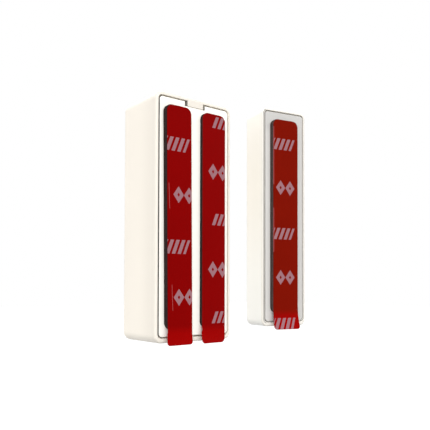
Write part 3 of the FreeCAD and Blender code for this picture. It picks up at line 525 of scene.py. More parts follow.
@dataclass(frozen=True)
class ReleaseFilm(Finish):
    """Translucent film: deep over the dark foam, brighter where it hangs free of it.

    Places are in millimetres of the strip's own frame. The strip gives that frame's origin and
    turn, and the end of its foam.
    """

    marks: Print
    origin: Point = (0.0, 0.0, 0.0)
    turn: Point = (0.0, 0.0, 0.0)
    foam_end: float = 0.0
    # Painted light: the film's colour where it hangs free, brighter as if lit through from behind.
    hanging: Colour = (0.297, 0.0008, 0.0006)
    hang_above: float = 2.4
    hang_below: float = 1.0
    creases: tuple[tuple[float, float, float], ...] = ()
    crease_half: float = 0.11
    crease_bow: float = 0.35
    bow_length: float = 9.0
    # Stretches of the film's left edge with a painted highlight, as lengths along the strip.
    glints: tuple[tuple[float, float], ...] = ()
    glint_wide: float = 0.28
    line_colour: Colour = (0.42, 0.1, 0.1)
    left_edge: float = 0.0
    ink_end: float = -99.0
    ink_depth: float = 1.2e-5
    wear: float = 1500.0
    cloud: float = 90.0
    waves: float = 60.0
    wave_depth: float = 1.5e-4
    roughness: float = 0.2
    gloss: float = 0.06
    gloss_tint: Colour = (1.0, 0.03, 0.03)

    def fitted(self, place: Matrix, foam_end: float) -> "ReleaseFilm":
        """Returns the finish in a strip's frame, with the end of its foam in millimetres."""
        origin, turn = tuple(place.to_translation()), tuple(place.to_euler())
        return replace(self, origin=origin, turn=turn, foam_end=foam_end)

    def lines(self, across: Socket, along: Socket) -> Any:
        """Draws the fine light lines: creases in the film, and a painted highlight along its left
        edge.

        Args:
            across: Place across the strip.
            along: Place along the strip.

        Returns:
            1 on a line and 0 beside it, or a plain 0 where the film has none.
        """
        line: Any = 0.0
        for crease_across, low, high in self.creases:
            bow = self.crease_bow * ((along - low) / self.bow_length).math("SINE")
            near = abs(across - crease_across + bow) < self.crease_half
            line = line + near * (along > low) * (along < high)
        # Painted highlight along the film's left edge.
        for low, high in self.glints:
            near = across < self.left_edge + self.glint_wide
            line = line + near * (along > low) * (along < high)
        return line

    def make(self) -> bpy.types.Material:
        """Makes the material.

        Returns:
            The material.
        """
        graph = Graph(self.name, self.origin, self.turn)
        across, _depth, along = graph.axes()
        hang_from, hang_to = self.foam_end + self.hang_above, self.foam_end - self.hang_below
        cloud = graph.noise(self.cloud, 3.0)
        waves = graph.noise(self.waves, 1.0)
        worn = graph.noise(self.wear, 2.0) * 0.22
        # The free tail is painted brighter, as light shining through the film.
        film = graph.mix(graph.rise(along, hang_from, hang_to), self.colour, self.hanging)
        film = graph.mix(0.16 * cloud, film, BLACK)
        ink = self.marks.mask(across, along) * (along > self.ink_end)
        colour = graph.mix(ink * (0.98 - worn), film, self.marks.colour)
        if self.creases or self.glints:
            colour = graph.mix(self.lines(across, along) * 0.6, colour, self.line_colour)
        under = graph.bump(waves, self.wave_depth, 0.35)
        return graph.finish(
            Base_Color=colour,
            Roughness=self.roughness + 0.08 * cloud + 0.12 * ink,
            Specular_IOR_Level=self.gloss,
            Specular_Tint=self.gloss_tint,
            Normal=graph.bump(ink, self.ink_depth, 0.5, under),
        )


@dataclass(frozen=True)
class SheetMetal(Finish):
    """Plated sheet or wire, faintly rolled in one direction."""

    roughness: float = 0.32
    rolling: float = 5000.0
    rolling_depth: float = 4e-6
    stretch: Point = (1.0, 1.0, 0.04)
    dulling: float = 260.0

    def make(self) -> bpy.types.Material:
        """Makes the material.

        Returns:
            The material.
        """
        graph = Graph(self.name)
        stretched = graph.node("Mapping", {}, {"Vector": graph.here, "Scale": self.stretch})
        rolled = graph.noise(self.rolling, 2.0, place=stretched)
        dull = graph.noise(self.dulling, 3.0)
        return graph.finish(
            Base_Color=graph.mix(dull * 0.7, self.colour, self.toned(0.78)),
            Metallic=0.95 + 0.05 * rolled,
            Roughness=self.roughness + 0.14 * (dull - 0.3) + 0.1 * (rolled - 0.5),
            Normal=graph.bump(rolled, self.rolling_depth, 0.5),
        )


@dataclass(frozen=True)
class BoardLacquer(Finish):
    """Solder lacquer over copper tracks in lanes and rungs, which jog here and there.

    Pitches and jogs are in millimetres, and half widths are shares of a pitch.
    """

    roughness: float = 0.28
    wander: float = 140.0
    lane_pitch: float = 1.27
    lane_half: float = 0.14
    lane_jogs: float = 14.0
    lane_jog: float = 0.7
    rung_pitch: float = 6.1
    rung_half: float = 0.035
    rung_jogs: float = 9.0
    rung_jog: float = 0.9
    track_depth: float = 3e-5
    speckle: float = 900.0

    def make(self) -> bpy.types.Material:
        """Makes the material.

        Returns:
            The material.
        """
        graph = Graph(self.name)
        across, _depth, along = graph.axes()
        wander = graph.noise(self.wander, 0.0)
        lane_moved = (wander * self.lane_jogs).math("FLOOR") * self.lane_jog
        rung_moved = (wander * self.rung_jogs).math("FLOOR") * self.rung_jog
        lane = (across + lane_moved) / self.lane_pitch
        rung = (along + rung_moved) / self.rung_pitch
        on_lane = abs(lane.math("FLOORED_MODULO", 1.0) - 0.5) < self.lane_half
        on_rung = abs(rung.math("FLOORED_MODULO", 1.0) - 0.5) < self.rung_half
        track = on_lane.math("MAXIMUM", on_rung)
        speckle = graph.noise(self.speckle, 2.0)
        share = track * 0.55 + speckle * 0.12
        return graph.finish(
            Base_Color=graph.mix(share, self.colour, self.toned(1.7, 0.01)),
            Roughness=self.roughness + 0.1 * speckle,
            Normal=graph.bump(track, self.track_depth, 0.6),
        )


@dataclass(frozen=True)
class ClearPiece(Finish):
    """Clear glass or resin."""

    clearness: float
    roughness: float = 0.06
    haze: float = 800.0
    haze_colour: Colour = (0.7, 0.75, 0.75)
    refraction: float = 1.5

    def make(self) -> bpy.types.Material:
        """Makes the material.

        Returns:
            The material.
        """
        graph = Graph(self.name)
        haze = graph.noise(self.haze, 2.0)
        return graph.finish(
            Base_Color=graph.mix(haze * 0.2, self.colour, self.haze_colour),
            Roughness=self.roughness + 0.05 * haze,
            Transmission_Weight=self.clearness,
            IOR=self.refraction,
        )


@dataclass(frozen=True)
class PressedPowder(Finish):
    """Sintered or pressed powder with a slightly pitted surface."""

    roughness: float = 0.5
    pitting: float = 1800.0
    pit_depth: float = 4e-5

    def make(self) -> bpy.types.Material:
        """Makes the material.

        Returns:
            The material.
        """
        graph = Graph(self.name)
        pits = graph.noise(self.pitting, 4.0, 0.7)
        return graph.finish(
            Base_Color=graph.mix(pits * 0.6, self.colour, self.toned(1.5, 0.01)),
            Roughness=self.roughness + 0.2 * pits,
            Normal=graph.bump(pits, self.pit_depth, 0.7),
        )


@dataclass(frozen=True)
class CellSleeve(Finish):
    """Shrink sleeve of the lithium cell: one plain colour with a pale band at one end."""

    band: Colour
    band_from: float
    roughness: float = 0.24
    ripple: float = 220.0
    ripple_depth: float = 3e-5
    ripple_colour: Colour = (0.02, 0.02, 0.03)

    def make(self) -> bpy.types.Material:
        """Makes the material.

        Returns:
            The material.
        """
        graph = Graph(self.name)
        ripple = graph.noise(self.ripple, 2.0)
        banded = graph.mix(graph.axes()[2] > self.band_from, self.colour, self.band)
        return graph.finish(
            Base_Color=graph.mix(0.12 * ripple, banded, self.ripple_colour),
            Roughness=self.roughness + 0.1 * ripple,
            Normal=graph.bump(ripple, self.ripple_depth, 0.5),
        )


# Modelling helpers


def only(*objects: bpy.types.Object) -> None:
    """Goes to object mode with some objects selected and nothing else, and the last one active.

    Args:
        objects: The objects to select.
    """
    if bpy.context.object is not None and bpy.context.object.mode != "OBJECT":
        bpy.ops.object.mode_set(mode="OBJECT")
    bpy.ops.object.select_all(action="DESELECT")
    for piece in objects:
        piece.select_set(True)
        bpy.context.view_layer.objects.active = piece


def choose(piece: bpy.types.Object, kind: str, test: Callable[[Any], bool]) -> None:
    """Selects the vertices, edges or faces of the piece in edit mode that pass a test.

    Args:
        piece: The object that is in edit mode.
        kind: VERT, EDGE or FACE.
        test: Takes an element and says whether it is wanted.
    """
    bpy.ops.mesh.select_mode(type=kind)
    bpy.ops.mesh.select_all(action="DESELECT")
    mesh = bmesh.from_edit_mesh(piece.data)
    for element in {"VERT": mesh.verts, "EDGE": mesh.edges, "FACE": mesh.faces}[kind]:
        if test(element):
            element.select_set(True)
    mesh.select_flush_mode()
    bmesh.update_edit_mesh(piece.data)


def runs(edge: Any, axis: Axis, least: float) -> bool:
    """Says whether an edge runs along an axis for more than a length."""
    return abs((edge.verts[0].co - edge.verts[1].co)[axis.value]) > least


def cut(place: Point, across: Point) -> None:
    """Cuts all of the mesh in edit mode along a plane, given by a point and its normal."""
    bpy.ops.mesh.select_all(action="SELECT")
    bpy.ops.mesh.bisect(plane_co=place, plane_no=across)


def begin(name: str) -> bpy.types.Object:
    """Names the primitive that was just added, applies its size and opens it for editing.

    Args:
        name: The piece's name.

    Returns:
        The piece, in edit mode.
    """
    piece = bpy.context.object
    piece.name = piece.data.name = name
    bpy.ops.object.transform_apply()
    bpy.ops.object.mode_set(mode="EDIT")
    return piece


def block(name: str, low: Point, high: Point) -> bpy.types.Object:
    """Adds a box and opens it for editing.

    Args:
        name: The piece's name.
        low: Its low corner.
        high: Its high corner.

    Returns:
        The box, in edit mode.
    """
    only()
    centre = [(a + b) / 2 for a, b in zip(low, high)]
    size = [b - a for a, b in zip(low, high)]
    bpy.ops.mesh.primitive_cube_add(size=1.0, location=centre, scale=size)
    return begin(name)


def duplicate(source: bpy.types.Object) -> bpy.types.Object:
    """Copies an object.

    Args:
        source: The object.

    Returns:
        The copy, which has its own mesh.
    """
    copy = source.copy()
    copy.data = source.data.copy()
    bpy.context.scene.collection.objects.link(copy)
    return copy


def modify(piece: bpy.types.Object, kind: str, **settings: Any) -> None:
    """Adds a modifier to the piece and applies it.

    Args:
        piece: The object.
        kind: The modifier's type.
        settings: Its properties.
    """
    only(piece)
    made = piece.modifiers.new(kind.lower(), kind)
    for name, value in settings.items():
        setattr(made, name, value)
    bpy.ops.object.modifier_apply(modifier=made.name)


def set_in_place(piece: bpy.types.Object, place: Matrix) -> None:
    """Moves a piece and applies the move, so that its place is in its mesh.

    Args:
        piece: The object.
        place: The matrix that moves it.
    """
    only(piece)
    piece.matrix_world = place
    bpy.ops.object.transform_apply()


def smooth(piece: bpy.types.Object, degrees: float = 35.0) -> None:
    """Shades a piece smooth except over sharp edges."""
    only(piece)
    bpy.ops.object.shade_smooth_by_angle(angle=math.radians(degrees))


def dress(piece: bpy.types.Object, material: bpy.types.Material) -> None:
    """Gives a piece or CAD node one material in all its slots.

    Args:
        piece: The piece or node.
        material: The material.
    """
    if not piece.data.materials:
        piece.data.materials.append(material)
    for slot in piece.material_slots:
        slot.material = material


# Tape strips


class Mount(Enum):
    """The record's mounts, one on the outer face of each strip."""

    LEFT = "sensor_tape_left"
    RIGHT = "sensor_tape_right"
    MAGNET = "magnet_tape"


@dataclass
class TapeStrip:
    """One strip of foam tape with its release film.

    The strip's own frame has its origin on the film's outer face, Y into the case and Z up. Its
    lean is in degrees.
    """

    mount: Mount
    foam_node: str
    liner_node: str
    foam_body: str
    liner_body: str
    film: ReleaseFilm
    wide: float = 10.2 * MM
    top: float = 37.6 * MM
    foam_end: float = -38.7 * MM
    tail: float = 4.6 * MM
    lean: float = 0.0
    foam_thick: float = 1.5 * MM
    film_thick: float = 0.15 * MM
    corner: float = 2.3 * MM
    corner_steps: int = 10
    tail_corner_left: float = 0.8 * MM
    tail_corner_right: float = 1.2 * MM
    tail_radius: float = 30 * MM
    tail_twist: float = 0.0
    tail_out: float = 0.2 * MM
    lift: float = 0.0
    curl_steps: int = 12
    film_columns: int = 8
    film_in: float = 0.15 * MM
    foam_out: float = 0.3 * MM
    foam_short: float = 0.8 * MM
    cuts_along: int = 120
    cuts_deep: int = 3
    lump: float = 1.1 * MM
    lump_depth: float = 0.16 * MM
    lump_middle: float = 0.42

    def place(self) -> Matrix:
        """Reads the strip's place from its mount in the record.

        Returns:
            The matrix from the strip's frame to the part's.
        """
        mounts = frame["record"]["mounts"]
        data = next(item for item in mounts if item["name"] == self.mount.value)
        outward = Vector(data["axis"]).normalized()
        up = Vector((0, 0, 1))
        across = up.cross(outward)
        turned = Matrix((across, -outward, up)).transposed().to_4x4()
        lean = Matrix.Rotation(math.radians(self.lean), 4, "Y")
        return Matrix.Translation(data["pos_m"]) @ turned @ lean

    def build_foam(self) -> bpy.types.Object:
        """Builds the foam with round corners and the slightly uneven sides of a knife cut.

        Returns:
            The foam.
        """
        half, half_thick = self.wide / 2, self.foam_thick / 2
        low = (-half - self.foam_out, self.film_thick, self.foam_end + self.foam_short)
        high = (half, self.film_thick + self.foam_thick, self.top)
        foam = block(self.foam_node + "_cut", low, high)
        choose(foam, "EDGE", lambda edge: runs(edge, Axis.Y, half_thick))
        bpy.ops.mesh.bevel(offset=self.corner, segments=self.corner_steps, affect="EDGES")
        choose(foam, "EDGE", lambda edge: runs(edge, Axis.Z, self.wide))
        bpy.ops.mesh.subdivide(number_cuts=self.cuts_along)
        choose(foam, "EDGE", lambda edge: runs(edge, Axis.Y, half_thick))
        bpy.ops.mesh.subdivide(number_cuts=self.cuts_deep)
        bpy.ops.object.mode_set(mode="OBJECT")
        middle, inner = self.film_thick + half_thick, half_thick - HAIR
        side = foam.vertex_groups.new(name="side")
        found = [vert.index for vert in foam.data.vertices if abs(vert.co.y - middle) < inner]
        side.add(found, 1.0, "REPLACE")
        lumps = bpy.data.textures.new(self.foam_node + "_lumps", "CLOUDS")
        lumps.noise_scale = self.lump
        modify(
            foam, "DISPLACE", texture=lumps, strength=self.lump_depth,
            mid_level=self.lump_middle, vertex_group="side",
        )
        foam.vertex_groups.clear()
        smooth(foam, 50)
        return foam

    def build_film(self) -> bpy.types.Object:
        """Builds the release film: flat on its foam, with a tail that curls away from the case.

        Returns:
            The film.
        """
        left, right = self.film_in - self.wide / 2, self.wide / 2
        low, wide = self.foam_end - self.tail, right - left
        centre = Vector(((left + right) / 2, 0, (self.top + low) / 2))
        upright = (math.pi / 2, 0, 0)
        only()
        bpy.ops.mesh.primitive_plane_add(size=wide, location=centre, rotation=upright)
        film = begin(self.liner_node + "_film")
        bpy.ops.mesh.select_all(action="SELECT")
        bpy.ops.transform.resize(value=(1, 1, (self.top - low) / wide), center_override=centre)
        corners = (
            (self.corner, lambda vert: vert.co.z > centre.z),
            (self.tail_corner_left, lambda vert: vert.co.z < centre.z and vert.co.x < centre.x),
            (self.tail_corner_right,
             lambda vert: vert.co.z < low + MM / 10 and vert.co.x > centre.x),
        )
        for offset, test in corners:
            choose(film, "VERT", test)
            bpy.ops.mesh.bevel(offset=offset, segments=self.corner_steps, affect="VERTICES")
        for column in range(1, self.film_columns):
            cut((left + wide * column / self.film_columns, 0, 0), (1, 0, 0))
        free = self.tail + self.lift
        start = self.foam_end + self.lift
        rows = [start - free * step / self.curl_steps for step in range(self.curl_steps)]
        for height in rows:
            cut((0, 0, height), (0, 0, 1))
        side = left + self.film_in
        choose(film, "VERT", lambda vert: vert.co.z < rows[1] and vert.co.x < side)
        bpy.ops.transform.translate(value=(-self.tail_out, 0, 0))
        self.curl(film, rows)
        choose(film, "FACE", lambda face: True)
        bpy.ops.mesh.normals_make_consistent(inside=False)
        faces = bmesh.from_edit_mesh(film.data).faces
        faces.ensure_lookup_table()
        if faces[0].normal.y > 0:
            bpy.ops.mesh.flip_normals()
        bpy.ops.object.mode_set(mode="OBJECT")
        modify(film, "SOLIDIFY", thickness=self.film_thick, offset=-1.0, use_even_offset=True)
        smooth(film, 30)
        return film

    def curl(self, film: bpy.types.Object, rows: Sequence[float]) -> None:
        """Turns the tail outwards a little at each row, and more at one side.

        Args:
            film: The flat film, in edit mode.
            rows: Heights of the rows, from the foam's end down.
        """
        mesh = bmesh.from_edit_mesh(film.data)
        below = [{vert.index for vert in mesh.verts if vert.co.z < row - HAIR} for row in rows]
        length = (self.tail + self.lift) / len(rows)
        step = length / self.tail_radius
        hinge = Vector((0, 0, rows[0]))
        for number, moved in enumerate(below):
            choose(film, "VERT", lambda vert: vert.index in moved)
            twist = self.tail_twist / self.wide * (2 * number + 1) / len(rows) ** 2
            for axis, angle in ((Axis.X, step), (Axis.Z, twist)):
                bpy.ops.transform.rotate(
                    value=-angle, orient_axis=axis.name, center_override=hinge,
                    constraint_axis=[other is axis for other in Axis],
                )
            turned = step * (number + 1)
            hinge = hinge + Vector((0, -math.sin(turned) * length, -math.cos(turned) * length))

    def build(self, foam_material: bpy.types.Material) -> None:
        """Builds and dresses the strip.

        Args:
            foam_material: The foam's material.
        """
        place = self.place()
        foam, film = self.build_foam(), self.build_film()
        for piece in (foam, film):
            set_in_place(piece, place)
        dress(foam, foam_material)
        dress(film, self.film.fitted(place, self.foam_end / MM).make())
        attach(foam, self.foam_body)
        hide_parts(self.foam_node)
        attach(film, self.liner_body)
        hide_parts(self.liner_node)
        LOG.info("tape strip %s: %s and %s", self.mount.value, foam.name, film.name)


# The housings and what they hold


@dataclass
class Dressing:
    """CAD nodes that keep their shape and take a finish."""

    name: str
    finishes: dict[Finish, tuple[str, ...]]

    def build(self) -> None:
        """Makes each finish and dresses its nodes."""
        for finish, nodes in self.finishes.items():
            material = finish.make()
            for node in nodes:
                dress(bpy.data.objects[node], material)
                LOG.info("%s: %s in %s", self.name, node, material.name)


@dataclass
class MagnetPad:
    """The foam pad between the bar magnet and the magnet cover."""

    node: str = "magnet_pad"
    round_by: float = 0.6 * MM
    round_steps: int = 4
    flat_angle: float = 0.02

    def build(self, material: bpy.types.Material) -> None:
        """Builds the pad with soft edges, over its CAD node.

        Args:
            material: The foam's material.
        """
        pad = duplicate(bpy.data.objects[self.node])
        pad.name = pad.data.name = self.node + "_foam"
        only(pad)
        bpy.ops.object.mode_set(mode="EDIT")
        bpy.ops.mesh.select_all(action="SELECT")
        bpy.ops.mesh.remove_doubles(threshold=HAIR)
        bpy.ops.mesh.dissolve_limited(angle_limit=self.flat_angle)
        modify(pad, "BEVEL", width=self.round_by, segments=self.round_steps, limit_method="ANGLE")
        smooth(pad)
        dress(pad, material)
        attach(pad, "magnet_unit")
        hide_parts(self.node)
        LOG.info("magnet pad: %s", pad.name)


@dataclass
class BoardChips:
    """Chip resistors and chip capacitors on the board's rear face.

    Each chip's place is given in millimetres across and along the board, with its turn in
    degrees.
    """

    resistors: tuple[Point, ...] = (
        (-3.4, 22.8, 90), (-1.6, 22.8, 90), (0.2, 22.8, 90), (5.6, 21.6, 0), (5.6, 20.2, 0),
        (8.4, 16.0, 90), (-3.4, 10.4, 90), (11.0, 11.4, 90), (12.8, 11.4, 90), (2.4, 3.6, 0),
    )
    capacitors: tuple[Point, ...] = (
        (-3.6, 18.6, 0), (-3.6, 16.8, 0), (2.0, 18.2, 90), (1.2, 14.4, 0), (4.2, 14.4, 0),
        (15.0, 14.6, 0), (12.6, 25.8, 0), (14.6, 7.2, 90),
    )
    long: float = 1.6 * MM
    wide: float = 0.82 * MM
    end: float = 0.36 * MM
    resistor_tall: float = 0.45 * MM
    capacitor_tall: float = 0.8 * MM
    round_by: float = 0.05 * MM

    def build_chip(
        self, name: str, tall: float, body: bpy.types.Material, tin: bpy.types.Material
    ) -> bpy.types.Object:
        """Builds one chip with its two tinned ends, lying on the plane of its own frame.

        Args:
            name: The chip's name.
            tall: Its height off the board.
            body: The material between the ends.
            tin: The material of the ends.

        Returns:
            The chip.
        """
        half = self.long / 2
        chip = block(name, (-half, -tall, -self.wide / 2), (half, 0, self.wide / 2))
        waist = half - self.end
        for across in (-waist, waist):
            cut((across, 0, 0), (1, 0, 0))
        chip.data.materials.append(body)
        chip.data.materials.append(tin)
        choose(chip, "FACE", lambda face: abs(face.calc_center_median().x) > waist)
        chip.active_material_index = 1
        bpy.ops.object.material_slot_assign()
        choose(chip, "FACE", lambda face: abs(face.normal.x) > 0.9)
        bpy.ops.mesh.inset(thickness=self.round_by, depth=self.round_by / 2)
        modify(chip, "BEVEL", width=self.round_by, segments=2, limit_method="ANGLE")
        smooth(chip)
        return chip

    def build(self) -> None:
        """Builds the chips and joins those of each kind to one piece."""
        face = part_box("circuit_board")[0][1]
        tin = SheetMetal("chip_ends_tin", (0.7, 0.7, 0.7), roughness=0.28).make()
        glaze = MouldedPlastic("resistor_glaze", (0.02, 0.02, 0.023), roughness=0.3).make()
        ceramic = PressedPowder("capacitor_ceramic", (0.26, 0.17, 0.1)).make()
        kinds = (
            ("chip_resistor", self.resistors, self.resistor_tall, glaze),
            ("chip_capacitor", self.capacitors, self.capacitor_tall, ceramic),
        )
        for name, spots, tall, body in kinds:
            first = self.build_chip(name, tall, body, tin)
            chips = [first] + [duplicate(first) for _spot in spots[1:]]
            for chip, (across, along, turn) in zip(chips, spots):
                place = Matrix.Translation((across * MM, face, along * MM))
                set_in_place(chip, place @ Matrix.Rotation(math.radians(turn), 4, "Y"))
            only(*chips[1:], first)
            bpy.ops.object.join()
            first.name = first.data.name = name + "s"
            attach(first, "sensor_case")
            LOG.info("board chips: %d in %s", len(spots), first.name)


# Studio


@dataclass(frozen=True)
class Lamp:
    """A square lamp that faces the object."""

    name: str
    place: Point
    power: float
    size: float = 0.9


@dataclass
class Studio:
    """Floor, lamps, world and camera."""

    floor_drop: float = 160 * MM
    floor_size: float = 9.0
    camera_place: Point = (-0.112064, -0.156398, -0.023441)
    yaw: float = 0.6689
    pitch: float = -0.0261
    roll: float = 0.003
    focal_pixels: float = 570.94
    centre_x: float = 206.42
    centre_y: float = 271.35
    picture: float = 430.0
    nearest: float = 0.01
    world_level: float = 1.5
    ceiling_dim: float = 0.7
    floor_tone: float = 0.42
    floor_glow: float = 0.8
    aim: Point = (0.02, 0.01, 0.0)
    lamps: tuple[Lamp, ...] = (
        Lamp("left", (-0.82, -1.0, 0.9), 12.6),
        Lamp("front", (0.0, -1.3, 0.65), 3.8),
        Lamp("back", (0.3, 1.1, 0.9), 4.0),
    )

    def build_camera(self) -> None:
        """Sets up the camera at the photograph's viewing angle."""
        turn = Matrix.Rotation(self.roll, 3, "Z") @ Matrix.Rotation(self.pitch, 3, "X")
        base = Matrix(((1, 0, 0), (0, 0, -1), (0, 1, 0)))
        to_view = turn @ base @ Matrix.Rotation(self.yaw, 3, "Z")
        to_world = to_view.transposed() @ Matrix(((1, 0, 0), (0, -1, 0), (0, 0, -1)))
        data = bpy.data.cameras.new("camera")
        data.lens = self.focal_pixels * data.sensor_width / self.picture
        data.shift_x = (self.picture / 2 - self.centre_x) / self.picture
        data.shift_y = (self.centre_y - self.picture / 2) / self.picture
        data.clip_start = self.nearest
        camera = bpy.data.objects.new("camera", data)
        camera.matrix_world = Matrix.Translation(self.camera_place) @ to_world.to_4x4()
        bpy.context.scene.collection.objects.link(camera)
        bpy.context.scene.camera = camera

    def seen_rays(self, tree: Tree) -> Socket:
        """Gives 1 for camera, glossy and transmission rays.

        Args:
            tree: The node tree.

        Returns:
            The mask.
        """
        seen = tree.node("LightPath", {}, {}, "Is Camera Ray")
        for name in ("Is Glossy Ray", "Is Transmission Ray"):
            seen = seen.math("MAXIMUM", tree.node("LightPath", {}, {}, name))
        return seen

    def build_world(self) -> None:
        """Lights the scene from all round, less from the ceiling, and shows white behind it."""
        world = bpy.data.worlds.new("studio")
        bpy.context.scene.world = world
        tree = Tree(world)
        direction = tree.node("TexCoord", {}, {}, "Generated")
        height = tree.node("SeparateXYZ", {}, {0: direction}, "Z")
        fall = -self.world_level * self.ceiling_dim
        level = height.math("MULTIPLY_ADD", fall, self.world_level)
        light, backdrop = (
            tree.node("Background", {}, {"Color": WHITE, "Strength": strength})
            for strength in (level, 1.0)
        )
        tree.surface(tree.node("MixShader", {}, {0: self.seen_rays(tree), 1: light, 2: backdrop}))

    def build_floor(self) -> None:
        """Lays a pale floor below the object, which is shown as it is mounted."""
        only()
        bpy.ops.mesh.primitive_plane_add(size=self.floor_size)
        floor = bpy.context.object
        floor.name = "floor"
        low = min(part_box("left_tape_liner")[0][2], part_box("front_case")[0][2])
        set_in_place(floor, Matrix.Translation((0, 0, low - self.floor_drop)))
        material = bpy.data.materials.new("floor")
        tree = Tree(material)
        glow = {"Color": WHITE, "Strength": self.seen_rays(tree) * self.floor_glow}
        shaders = {
            0: tree.node("BsdfDiffuse", {}, {"Color": (self.floor_tone,) * 3}),
            1: tree.node("Emission", {}, glow),
        }
        tree.surface(tree.node("AddShader", {}, shaders))
        dress(floor, material)

    def build_lamps(self) -> None:
        """Hangs the lamps, all aimed at the object."""
        for lamp in self.lamps:
            data = bpy.data.lights.new(lamp.name, "AREA")
            data.size = lamp.size
            data.energy = lamp.power
            hung = bpy.data.objects.new(lamp.name, data)
            hung.location = lamp.place
            inwards = Vector(self.aim) - Vector(lamp.place)
            hung.rotation_euler = inwards.to_track_quat("-Z", "Y").to_euler()
            bpy.context.scene.collection.objects.link(hung)

    def build(self) -> None:
        """Builds the studio and sets plain view settings."""
        self.build_camera()
        self.build_world()
        self.build_floor()
        self.build_lamps()
        bpy.context.scene.view_settings.view_transform = "Standard"
        LOG.info("studio: camera, floor, world and %d lamps", len(self.lamps))


# This door sensor's shades, finishes, strips and dressings


# Painted shade: the back cover darkens towards its left side.
COVER_SIDE_SHADE = Fade(0.93, Axis.X, 7.0, -5.0)
# Painted shadow in the gap: the back cover's edge on its left side and corners, with a hairline of
# its face, is nearly black.
COVER_GAP_SHADE = PlateEdge(0.05, (7.7, 0.0), (14.83, 40.43), 1.23, skin=0.07)
# Painted shadow: thin dark lines down the two sides of the notch in the back cover's top edge.
NOTCH_SHADE = tuple(Patch(0.3, (x - 0.05, 1.6, 38.8), (x + 0.05, 3.3, 40.5)) for x in (3.4, 12.0))
# Painted shade: the sensor case darkens towards its back, which lies on the door.
DOOR_SIDE_SHADE = Fade(0.91, Axis.Y, 13.0, 2.0)
# Painted shade: the sensor case's back rim round the cover is darker, short of its right end.
CASE_RIM_SHADE = replace(COVER_GAP_SHADE, tone=0.84, skin=-0.4, reach=3.0, until=21.5)
# Painted shadow: a dark band on the case's lip beside the cover's left gap.
CASE_LIP_SHADE = replace(COVER_GAP_SHADE, tone=0.4, skin=-0.4, reach=0.6, until=-6.9)
# The tongue's face is darker, and a thin painted shadow line runs down its left slit.
TONGUE = (
    Patch(0.82, (4.3, 1.5, 38.9), (11.1, 3.3, 40.9)),
    Patch(0.3, (4.25, 1.5, 38.9), (4.35, 3.3, 40.9)),
)
# Painted shade: the magnet cover darkens towards its top.
LID_TOP_SHADE = Fade(0.86, Axis.Z, 35.0, 39.0)
# Painted shade: the magnet cover darkens towards its right side.
LID_SIDE_SHADE = Fade(0.86, Axis.X, 48.0, 58.0)
# Painted shadow in the gap: the magnet cover's edge on its left side is darker.
LID_GAP_SHADE = PlateEdge(
    0.48, (10.2, 42.0), (8.78, 40.58), 1.08, (39.7, 1.25, -38.2), -10.9, until=2.5, below=0.7
)
# Painted light: the magnet case is lighter towards its foot.
MAGNET_FOOT_LIGHT = Fade(1.1, Axis.Z, 18.0, -25.0)
# Painted shade: the magnet case's back rim round its cover is darker.
MAGNET_RIM_SHADE = replace(LID_GAP_SHADE, tone=0.82, skin=-0.4, reach=3.0, until=99.0, below=0.65)
# Painted shadow: a dark band on the magnet case's lip beside the cover's left gap.
MAGNET_LIP_SHADE = replace(LID_GAP_SHADE, tone=0.4, skin=-0.6, reach=1.0, until=1.75)

CASE_WHITE = MouldedPlastic(
    "case_white", (0.93, 0.87, 0.775), shades=(DOOR_SIDE_SHADE, CASE_RIM_SHADE, CASE_LIP_SHADE, *TONGUE)
)
COVER_WHITE = MouldedPlastic(
    "cover_white", (0.98, 0.95, 0.88), roughness=0.46, shades=(COVER_SIDE_SHADE, COVER_GAP_SHADE, *NOTCH_SHADE)
)
MAGNET_WHITE = MouldedPlastic(
    "magnet_case_white", (0.99, 0.95, 0.875), shades=(MAGNET_FOOT_LIGHT, MAGNET_RIM_SHADE, MAGNET_LIP_SHADE)
)
MAGNET_GREY = MouldedPlastic(
    "magnet_cover_grey", (0.625, 0.61, 0.585), roughness=0.46, shades=(LID_TOP_SHADE, LID_SIDE_SHADE, LID_GAP_SHADE)
)
BLACK_PLASTIC = MouldedPlastic("black_plastic", (0.018, 0.018, 0.02), roughness=0.5, mottle=0.1)
GREY_PLASTIC = MouldedPlastic("grey_plastic", (0.30, 0.30, 0.31), roughness=0.45)
CHIP_RESIN = MouldedPlastic(
    "chip_resin", (0.012, 0.012, 0.013), roughness=0.55, grain_depth=1.2e-5
)
NICKEL = SheetMetal("nickel_plate", (0.62, 0.60, 0.56))
ZINC = SheetMetal("zinc_plate", (0.60, 0.61, 0.63), roughness=0.36)
TIN = SheetMetal("tin_plate", (0.66, 0.66, 0.66), roughness=0.3)
CAN_ALUMINIUM = SheetMetal("can_aluminium", (0.72, 0.72, 0.74), roughness=0.3)
FERRITE = PressedPowder("ferrite", (0.04, 0.04, 0.043))
ELECTRODE = PressedPowder("electrode_powder", (0.03, 0.03, 0.032))
LACQUER = BoardLacquer("board_lacquer", (0.01, 0.085, 0.035))
GLASS = ClearPiece("reed_tube_glass", (0.85, 0.95, 0.92), 0.92)
RESIN = ClearPiece("clear_resin", (0.93, 0.94, 0.94), 0.6, 0.2)
SLEEVE = CellSleeve("cell_sleeve", (0.03, 0.09, 0.22), (0.5, 0.5, 0.48), -8.0)
TAPE_FOAM = CutFoam("tape_foam_cut", (0.0095, 0.0033, 0.003))
MAGNET_FOAM = CutFoam("magnet_foam_cut", (0.031, 0.0195, 0.018))
DEEP_RED: Colour = (0.219, 0.0006, 0.0006)
LEFT_FILM = ReleaseFilm(
    "left_film", DEEP_RED, Print(phase=7.4),
    creases=((-4.05, 2.5, 11.1), (-2.95, -31.6, -22.9)), ink_end=-41.4,
)
RIGHT_PRINT = Print(
    phase=0.2, flip=True, bars_from=-0.85, bars_to=6.4, bars_half=2.05, bars_drop=0.0,
    diamonds_drop=0.4,
)
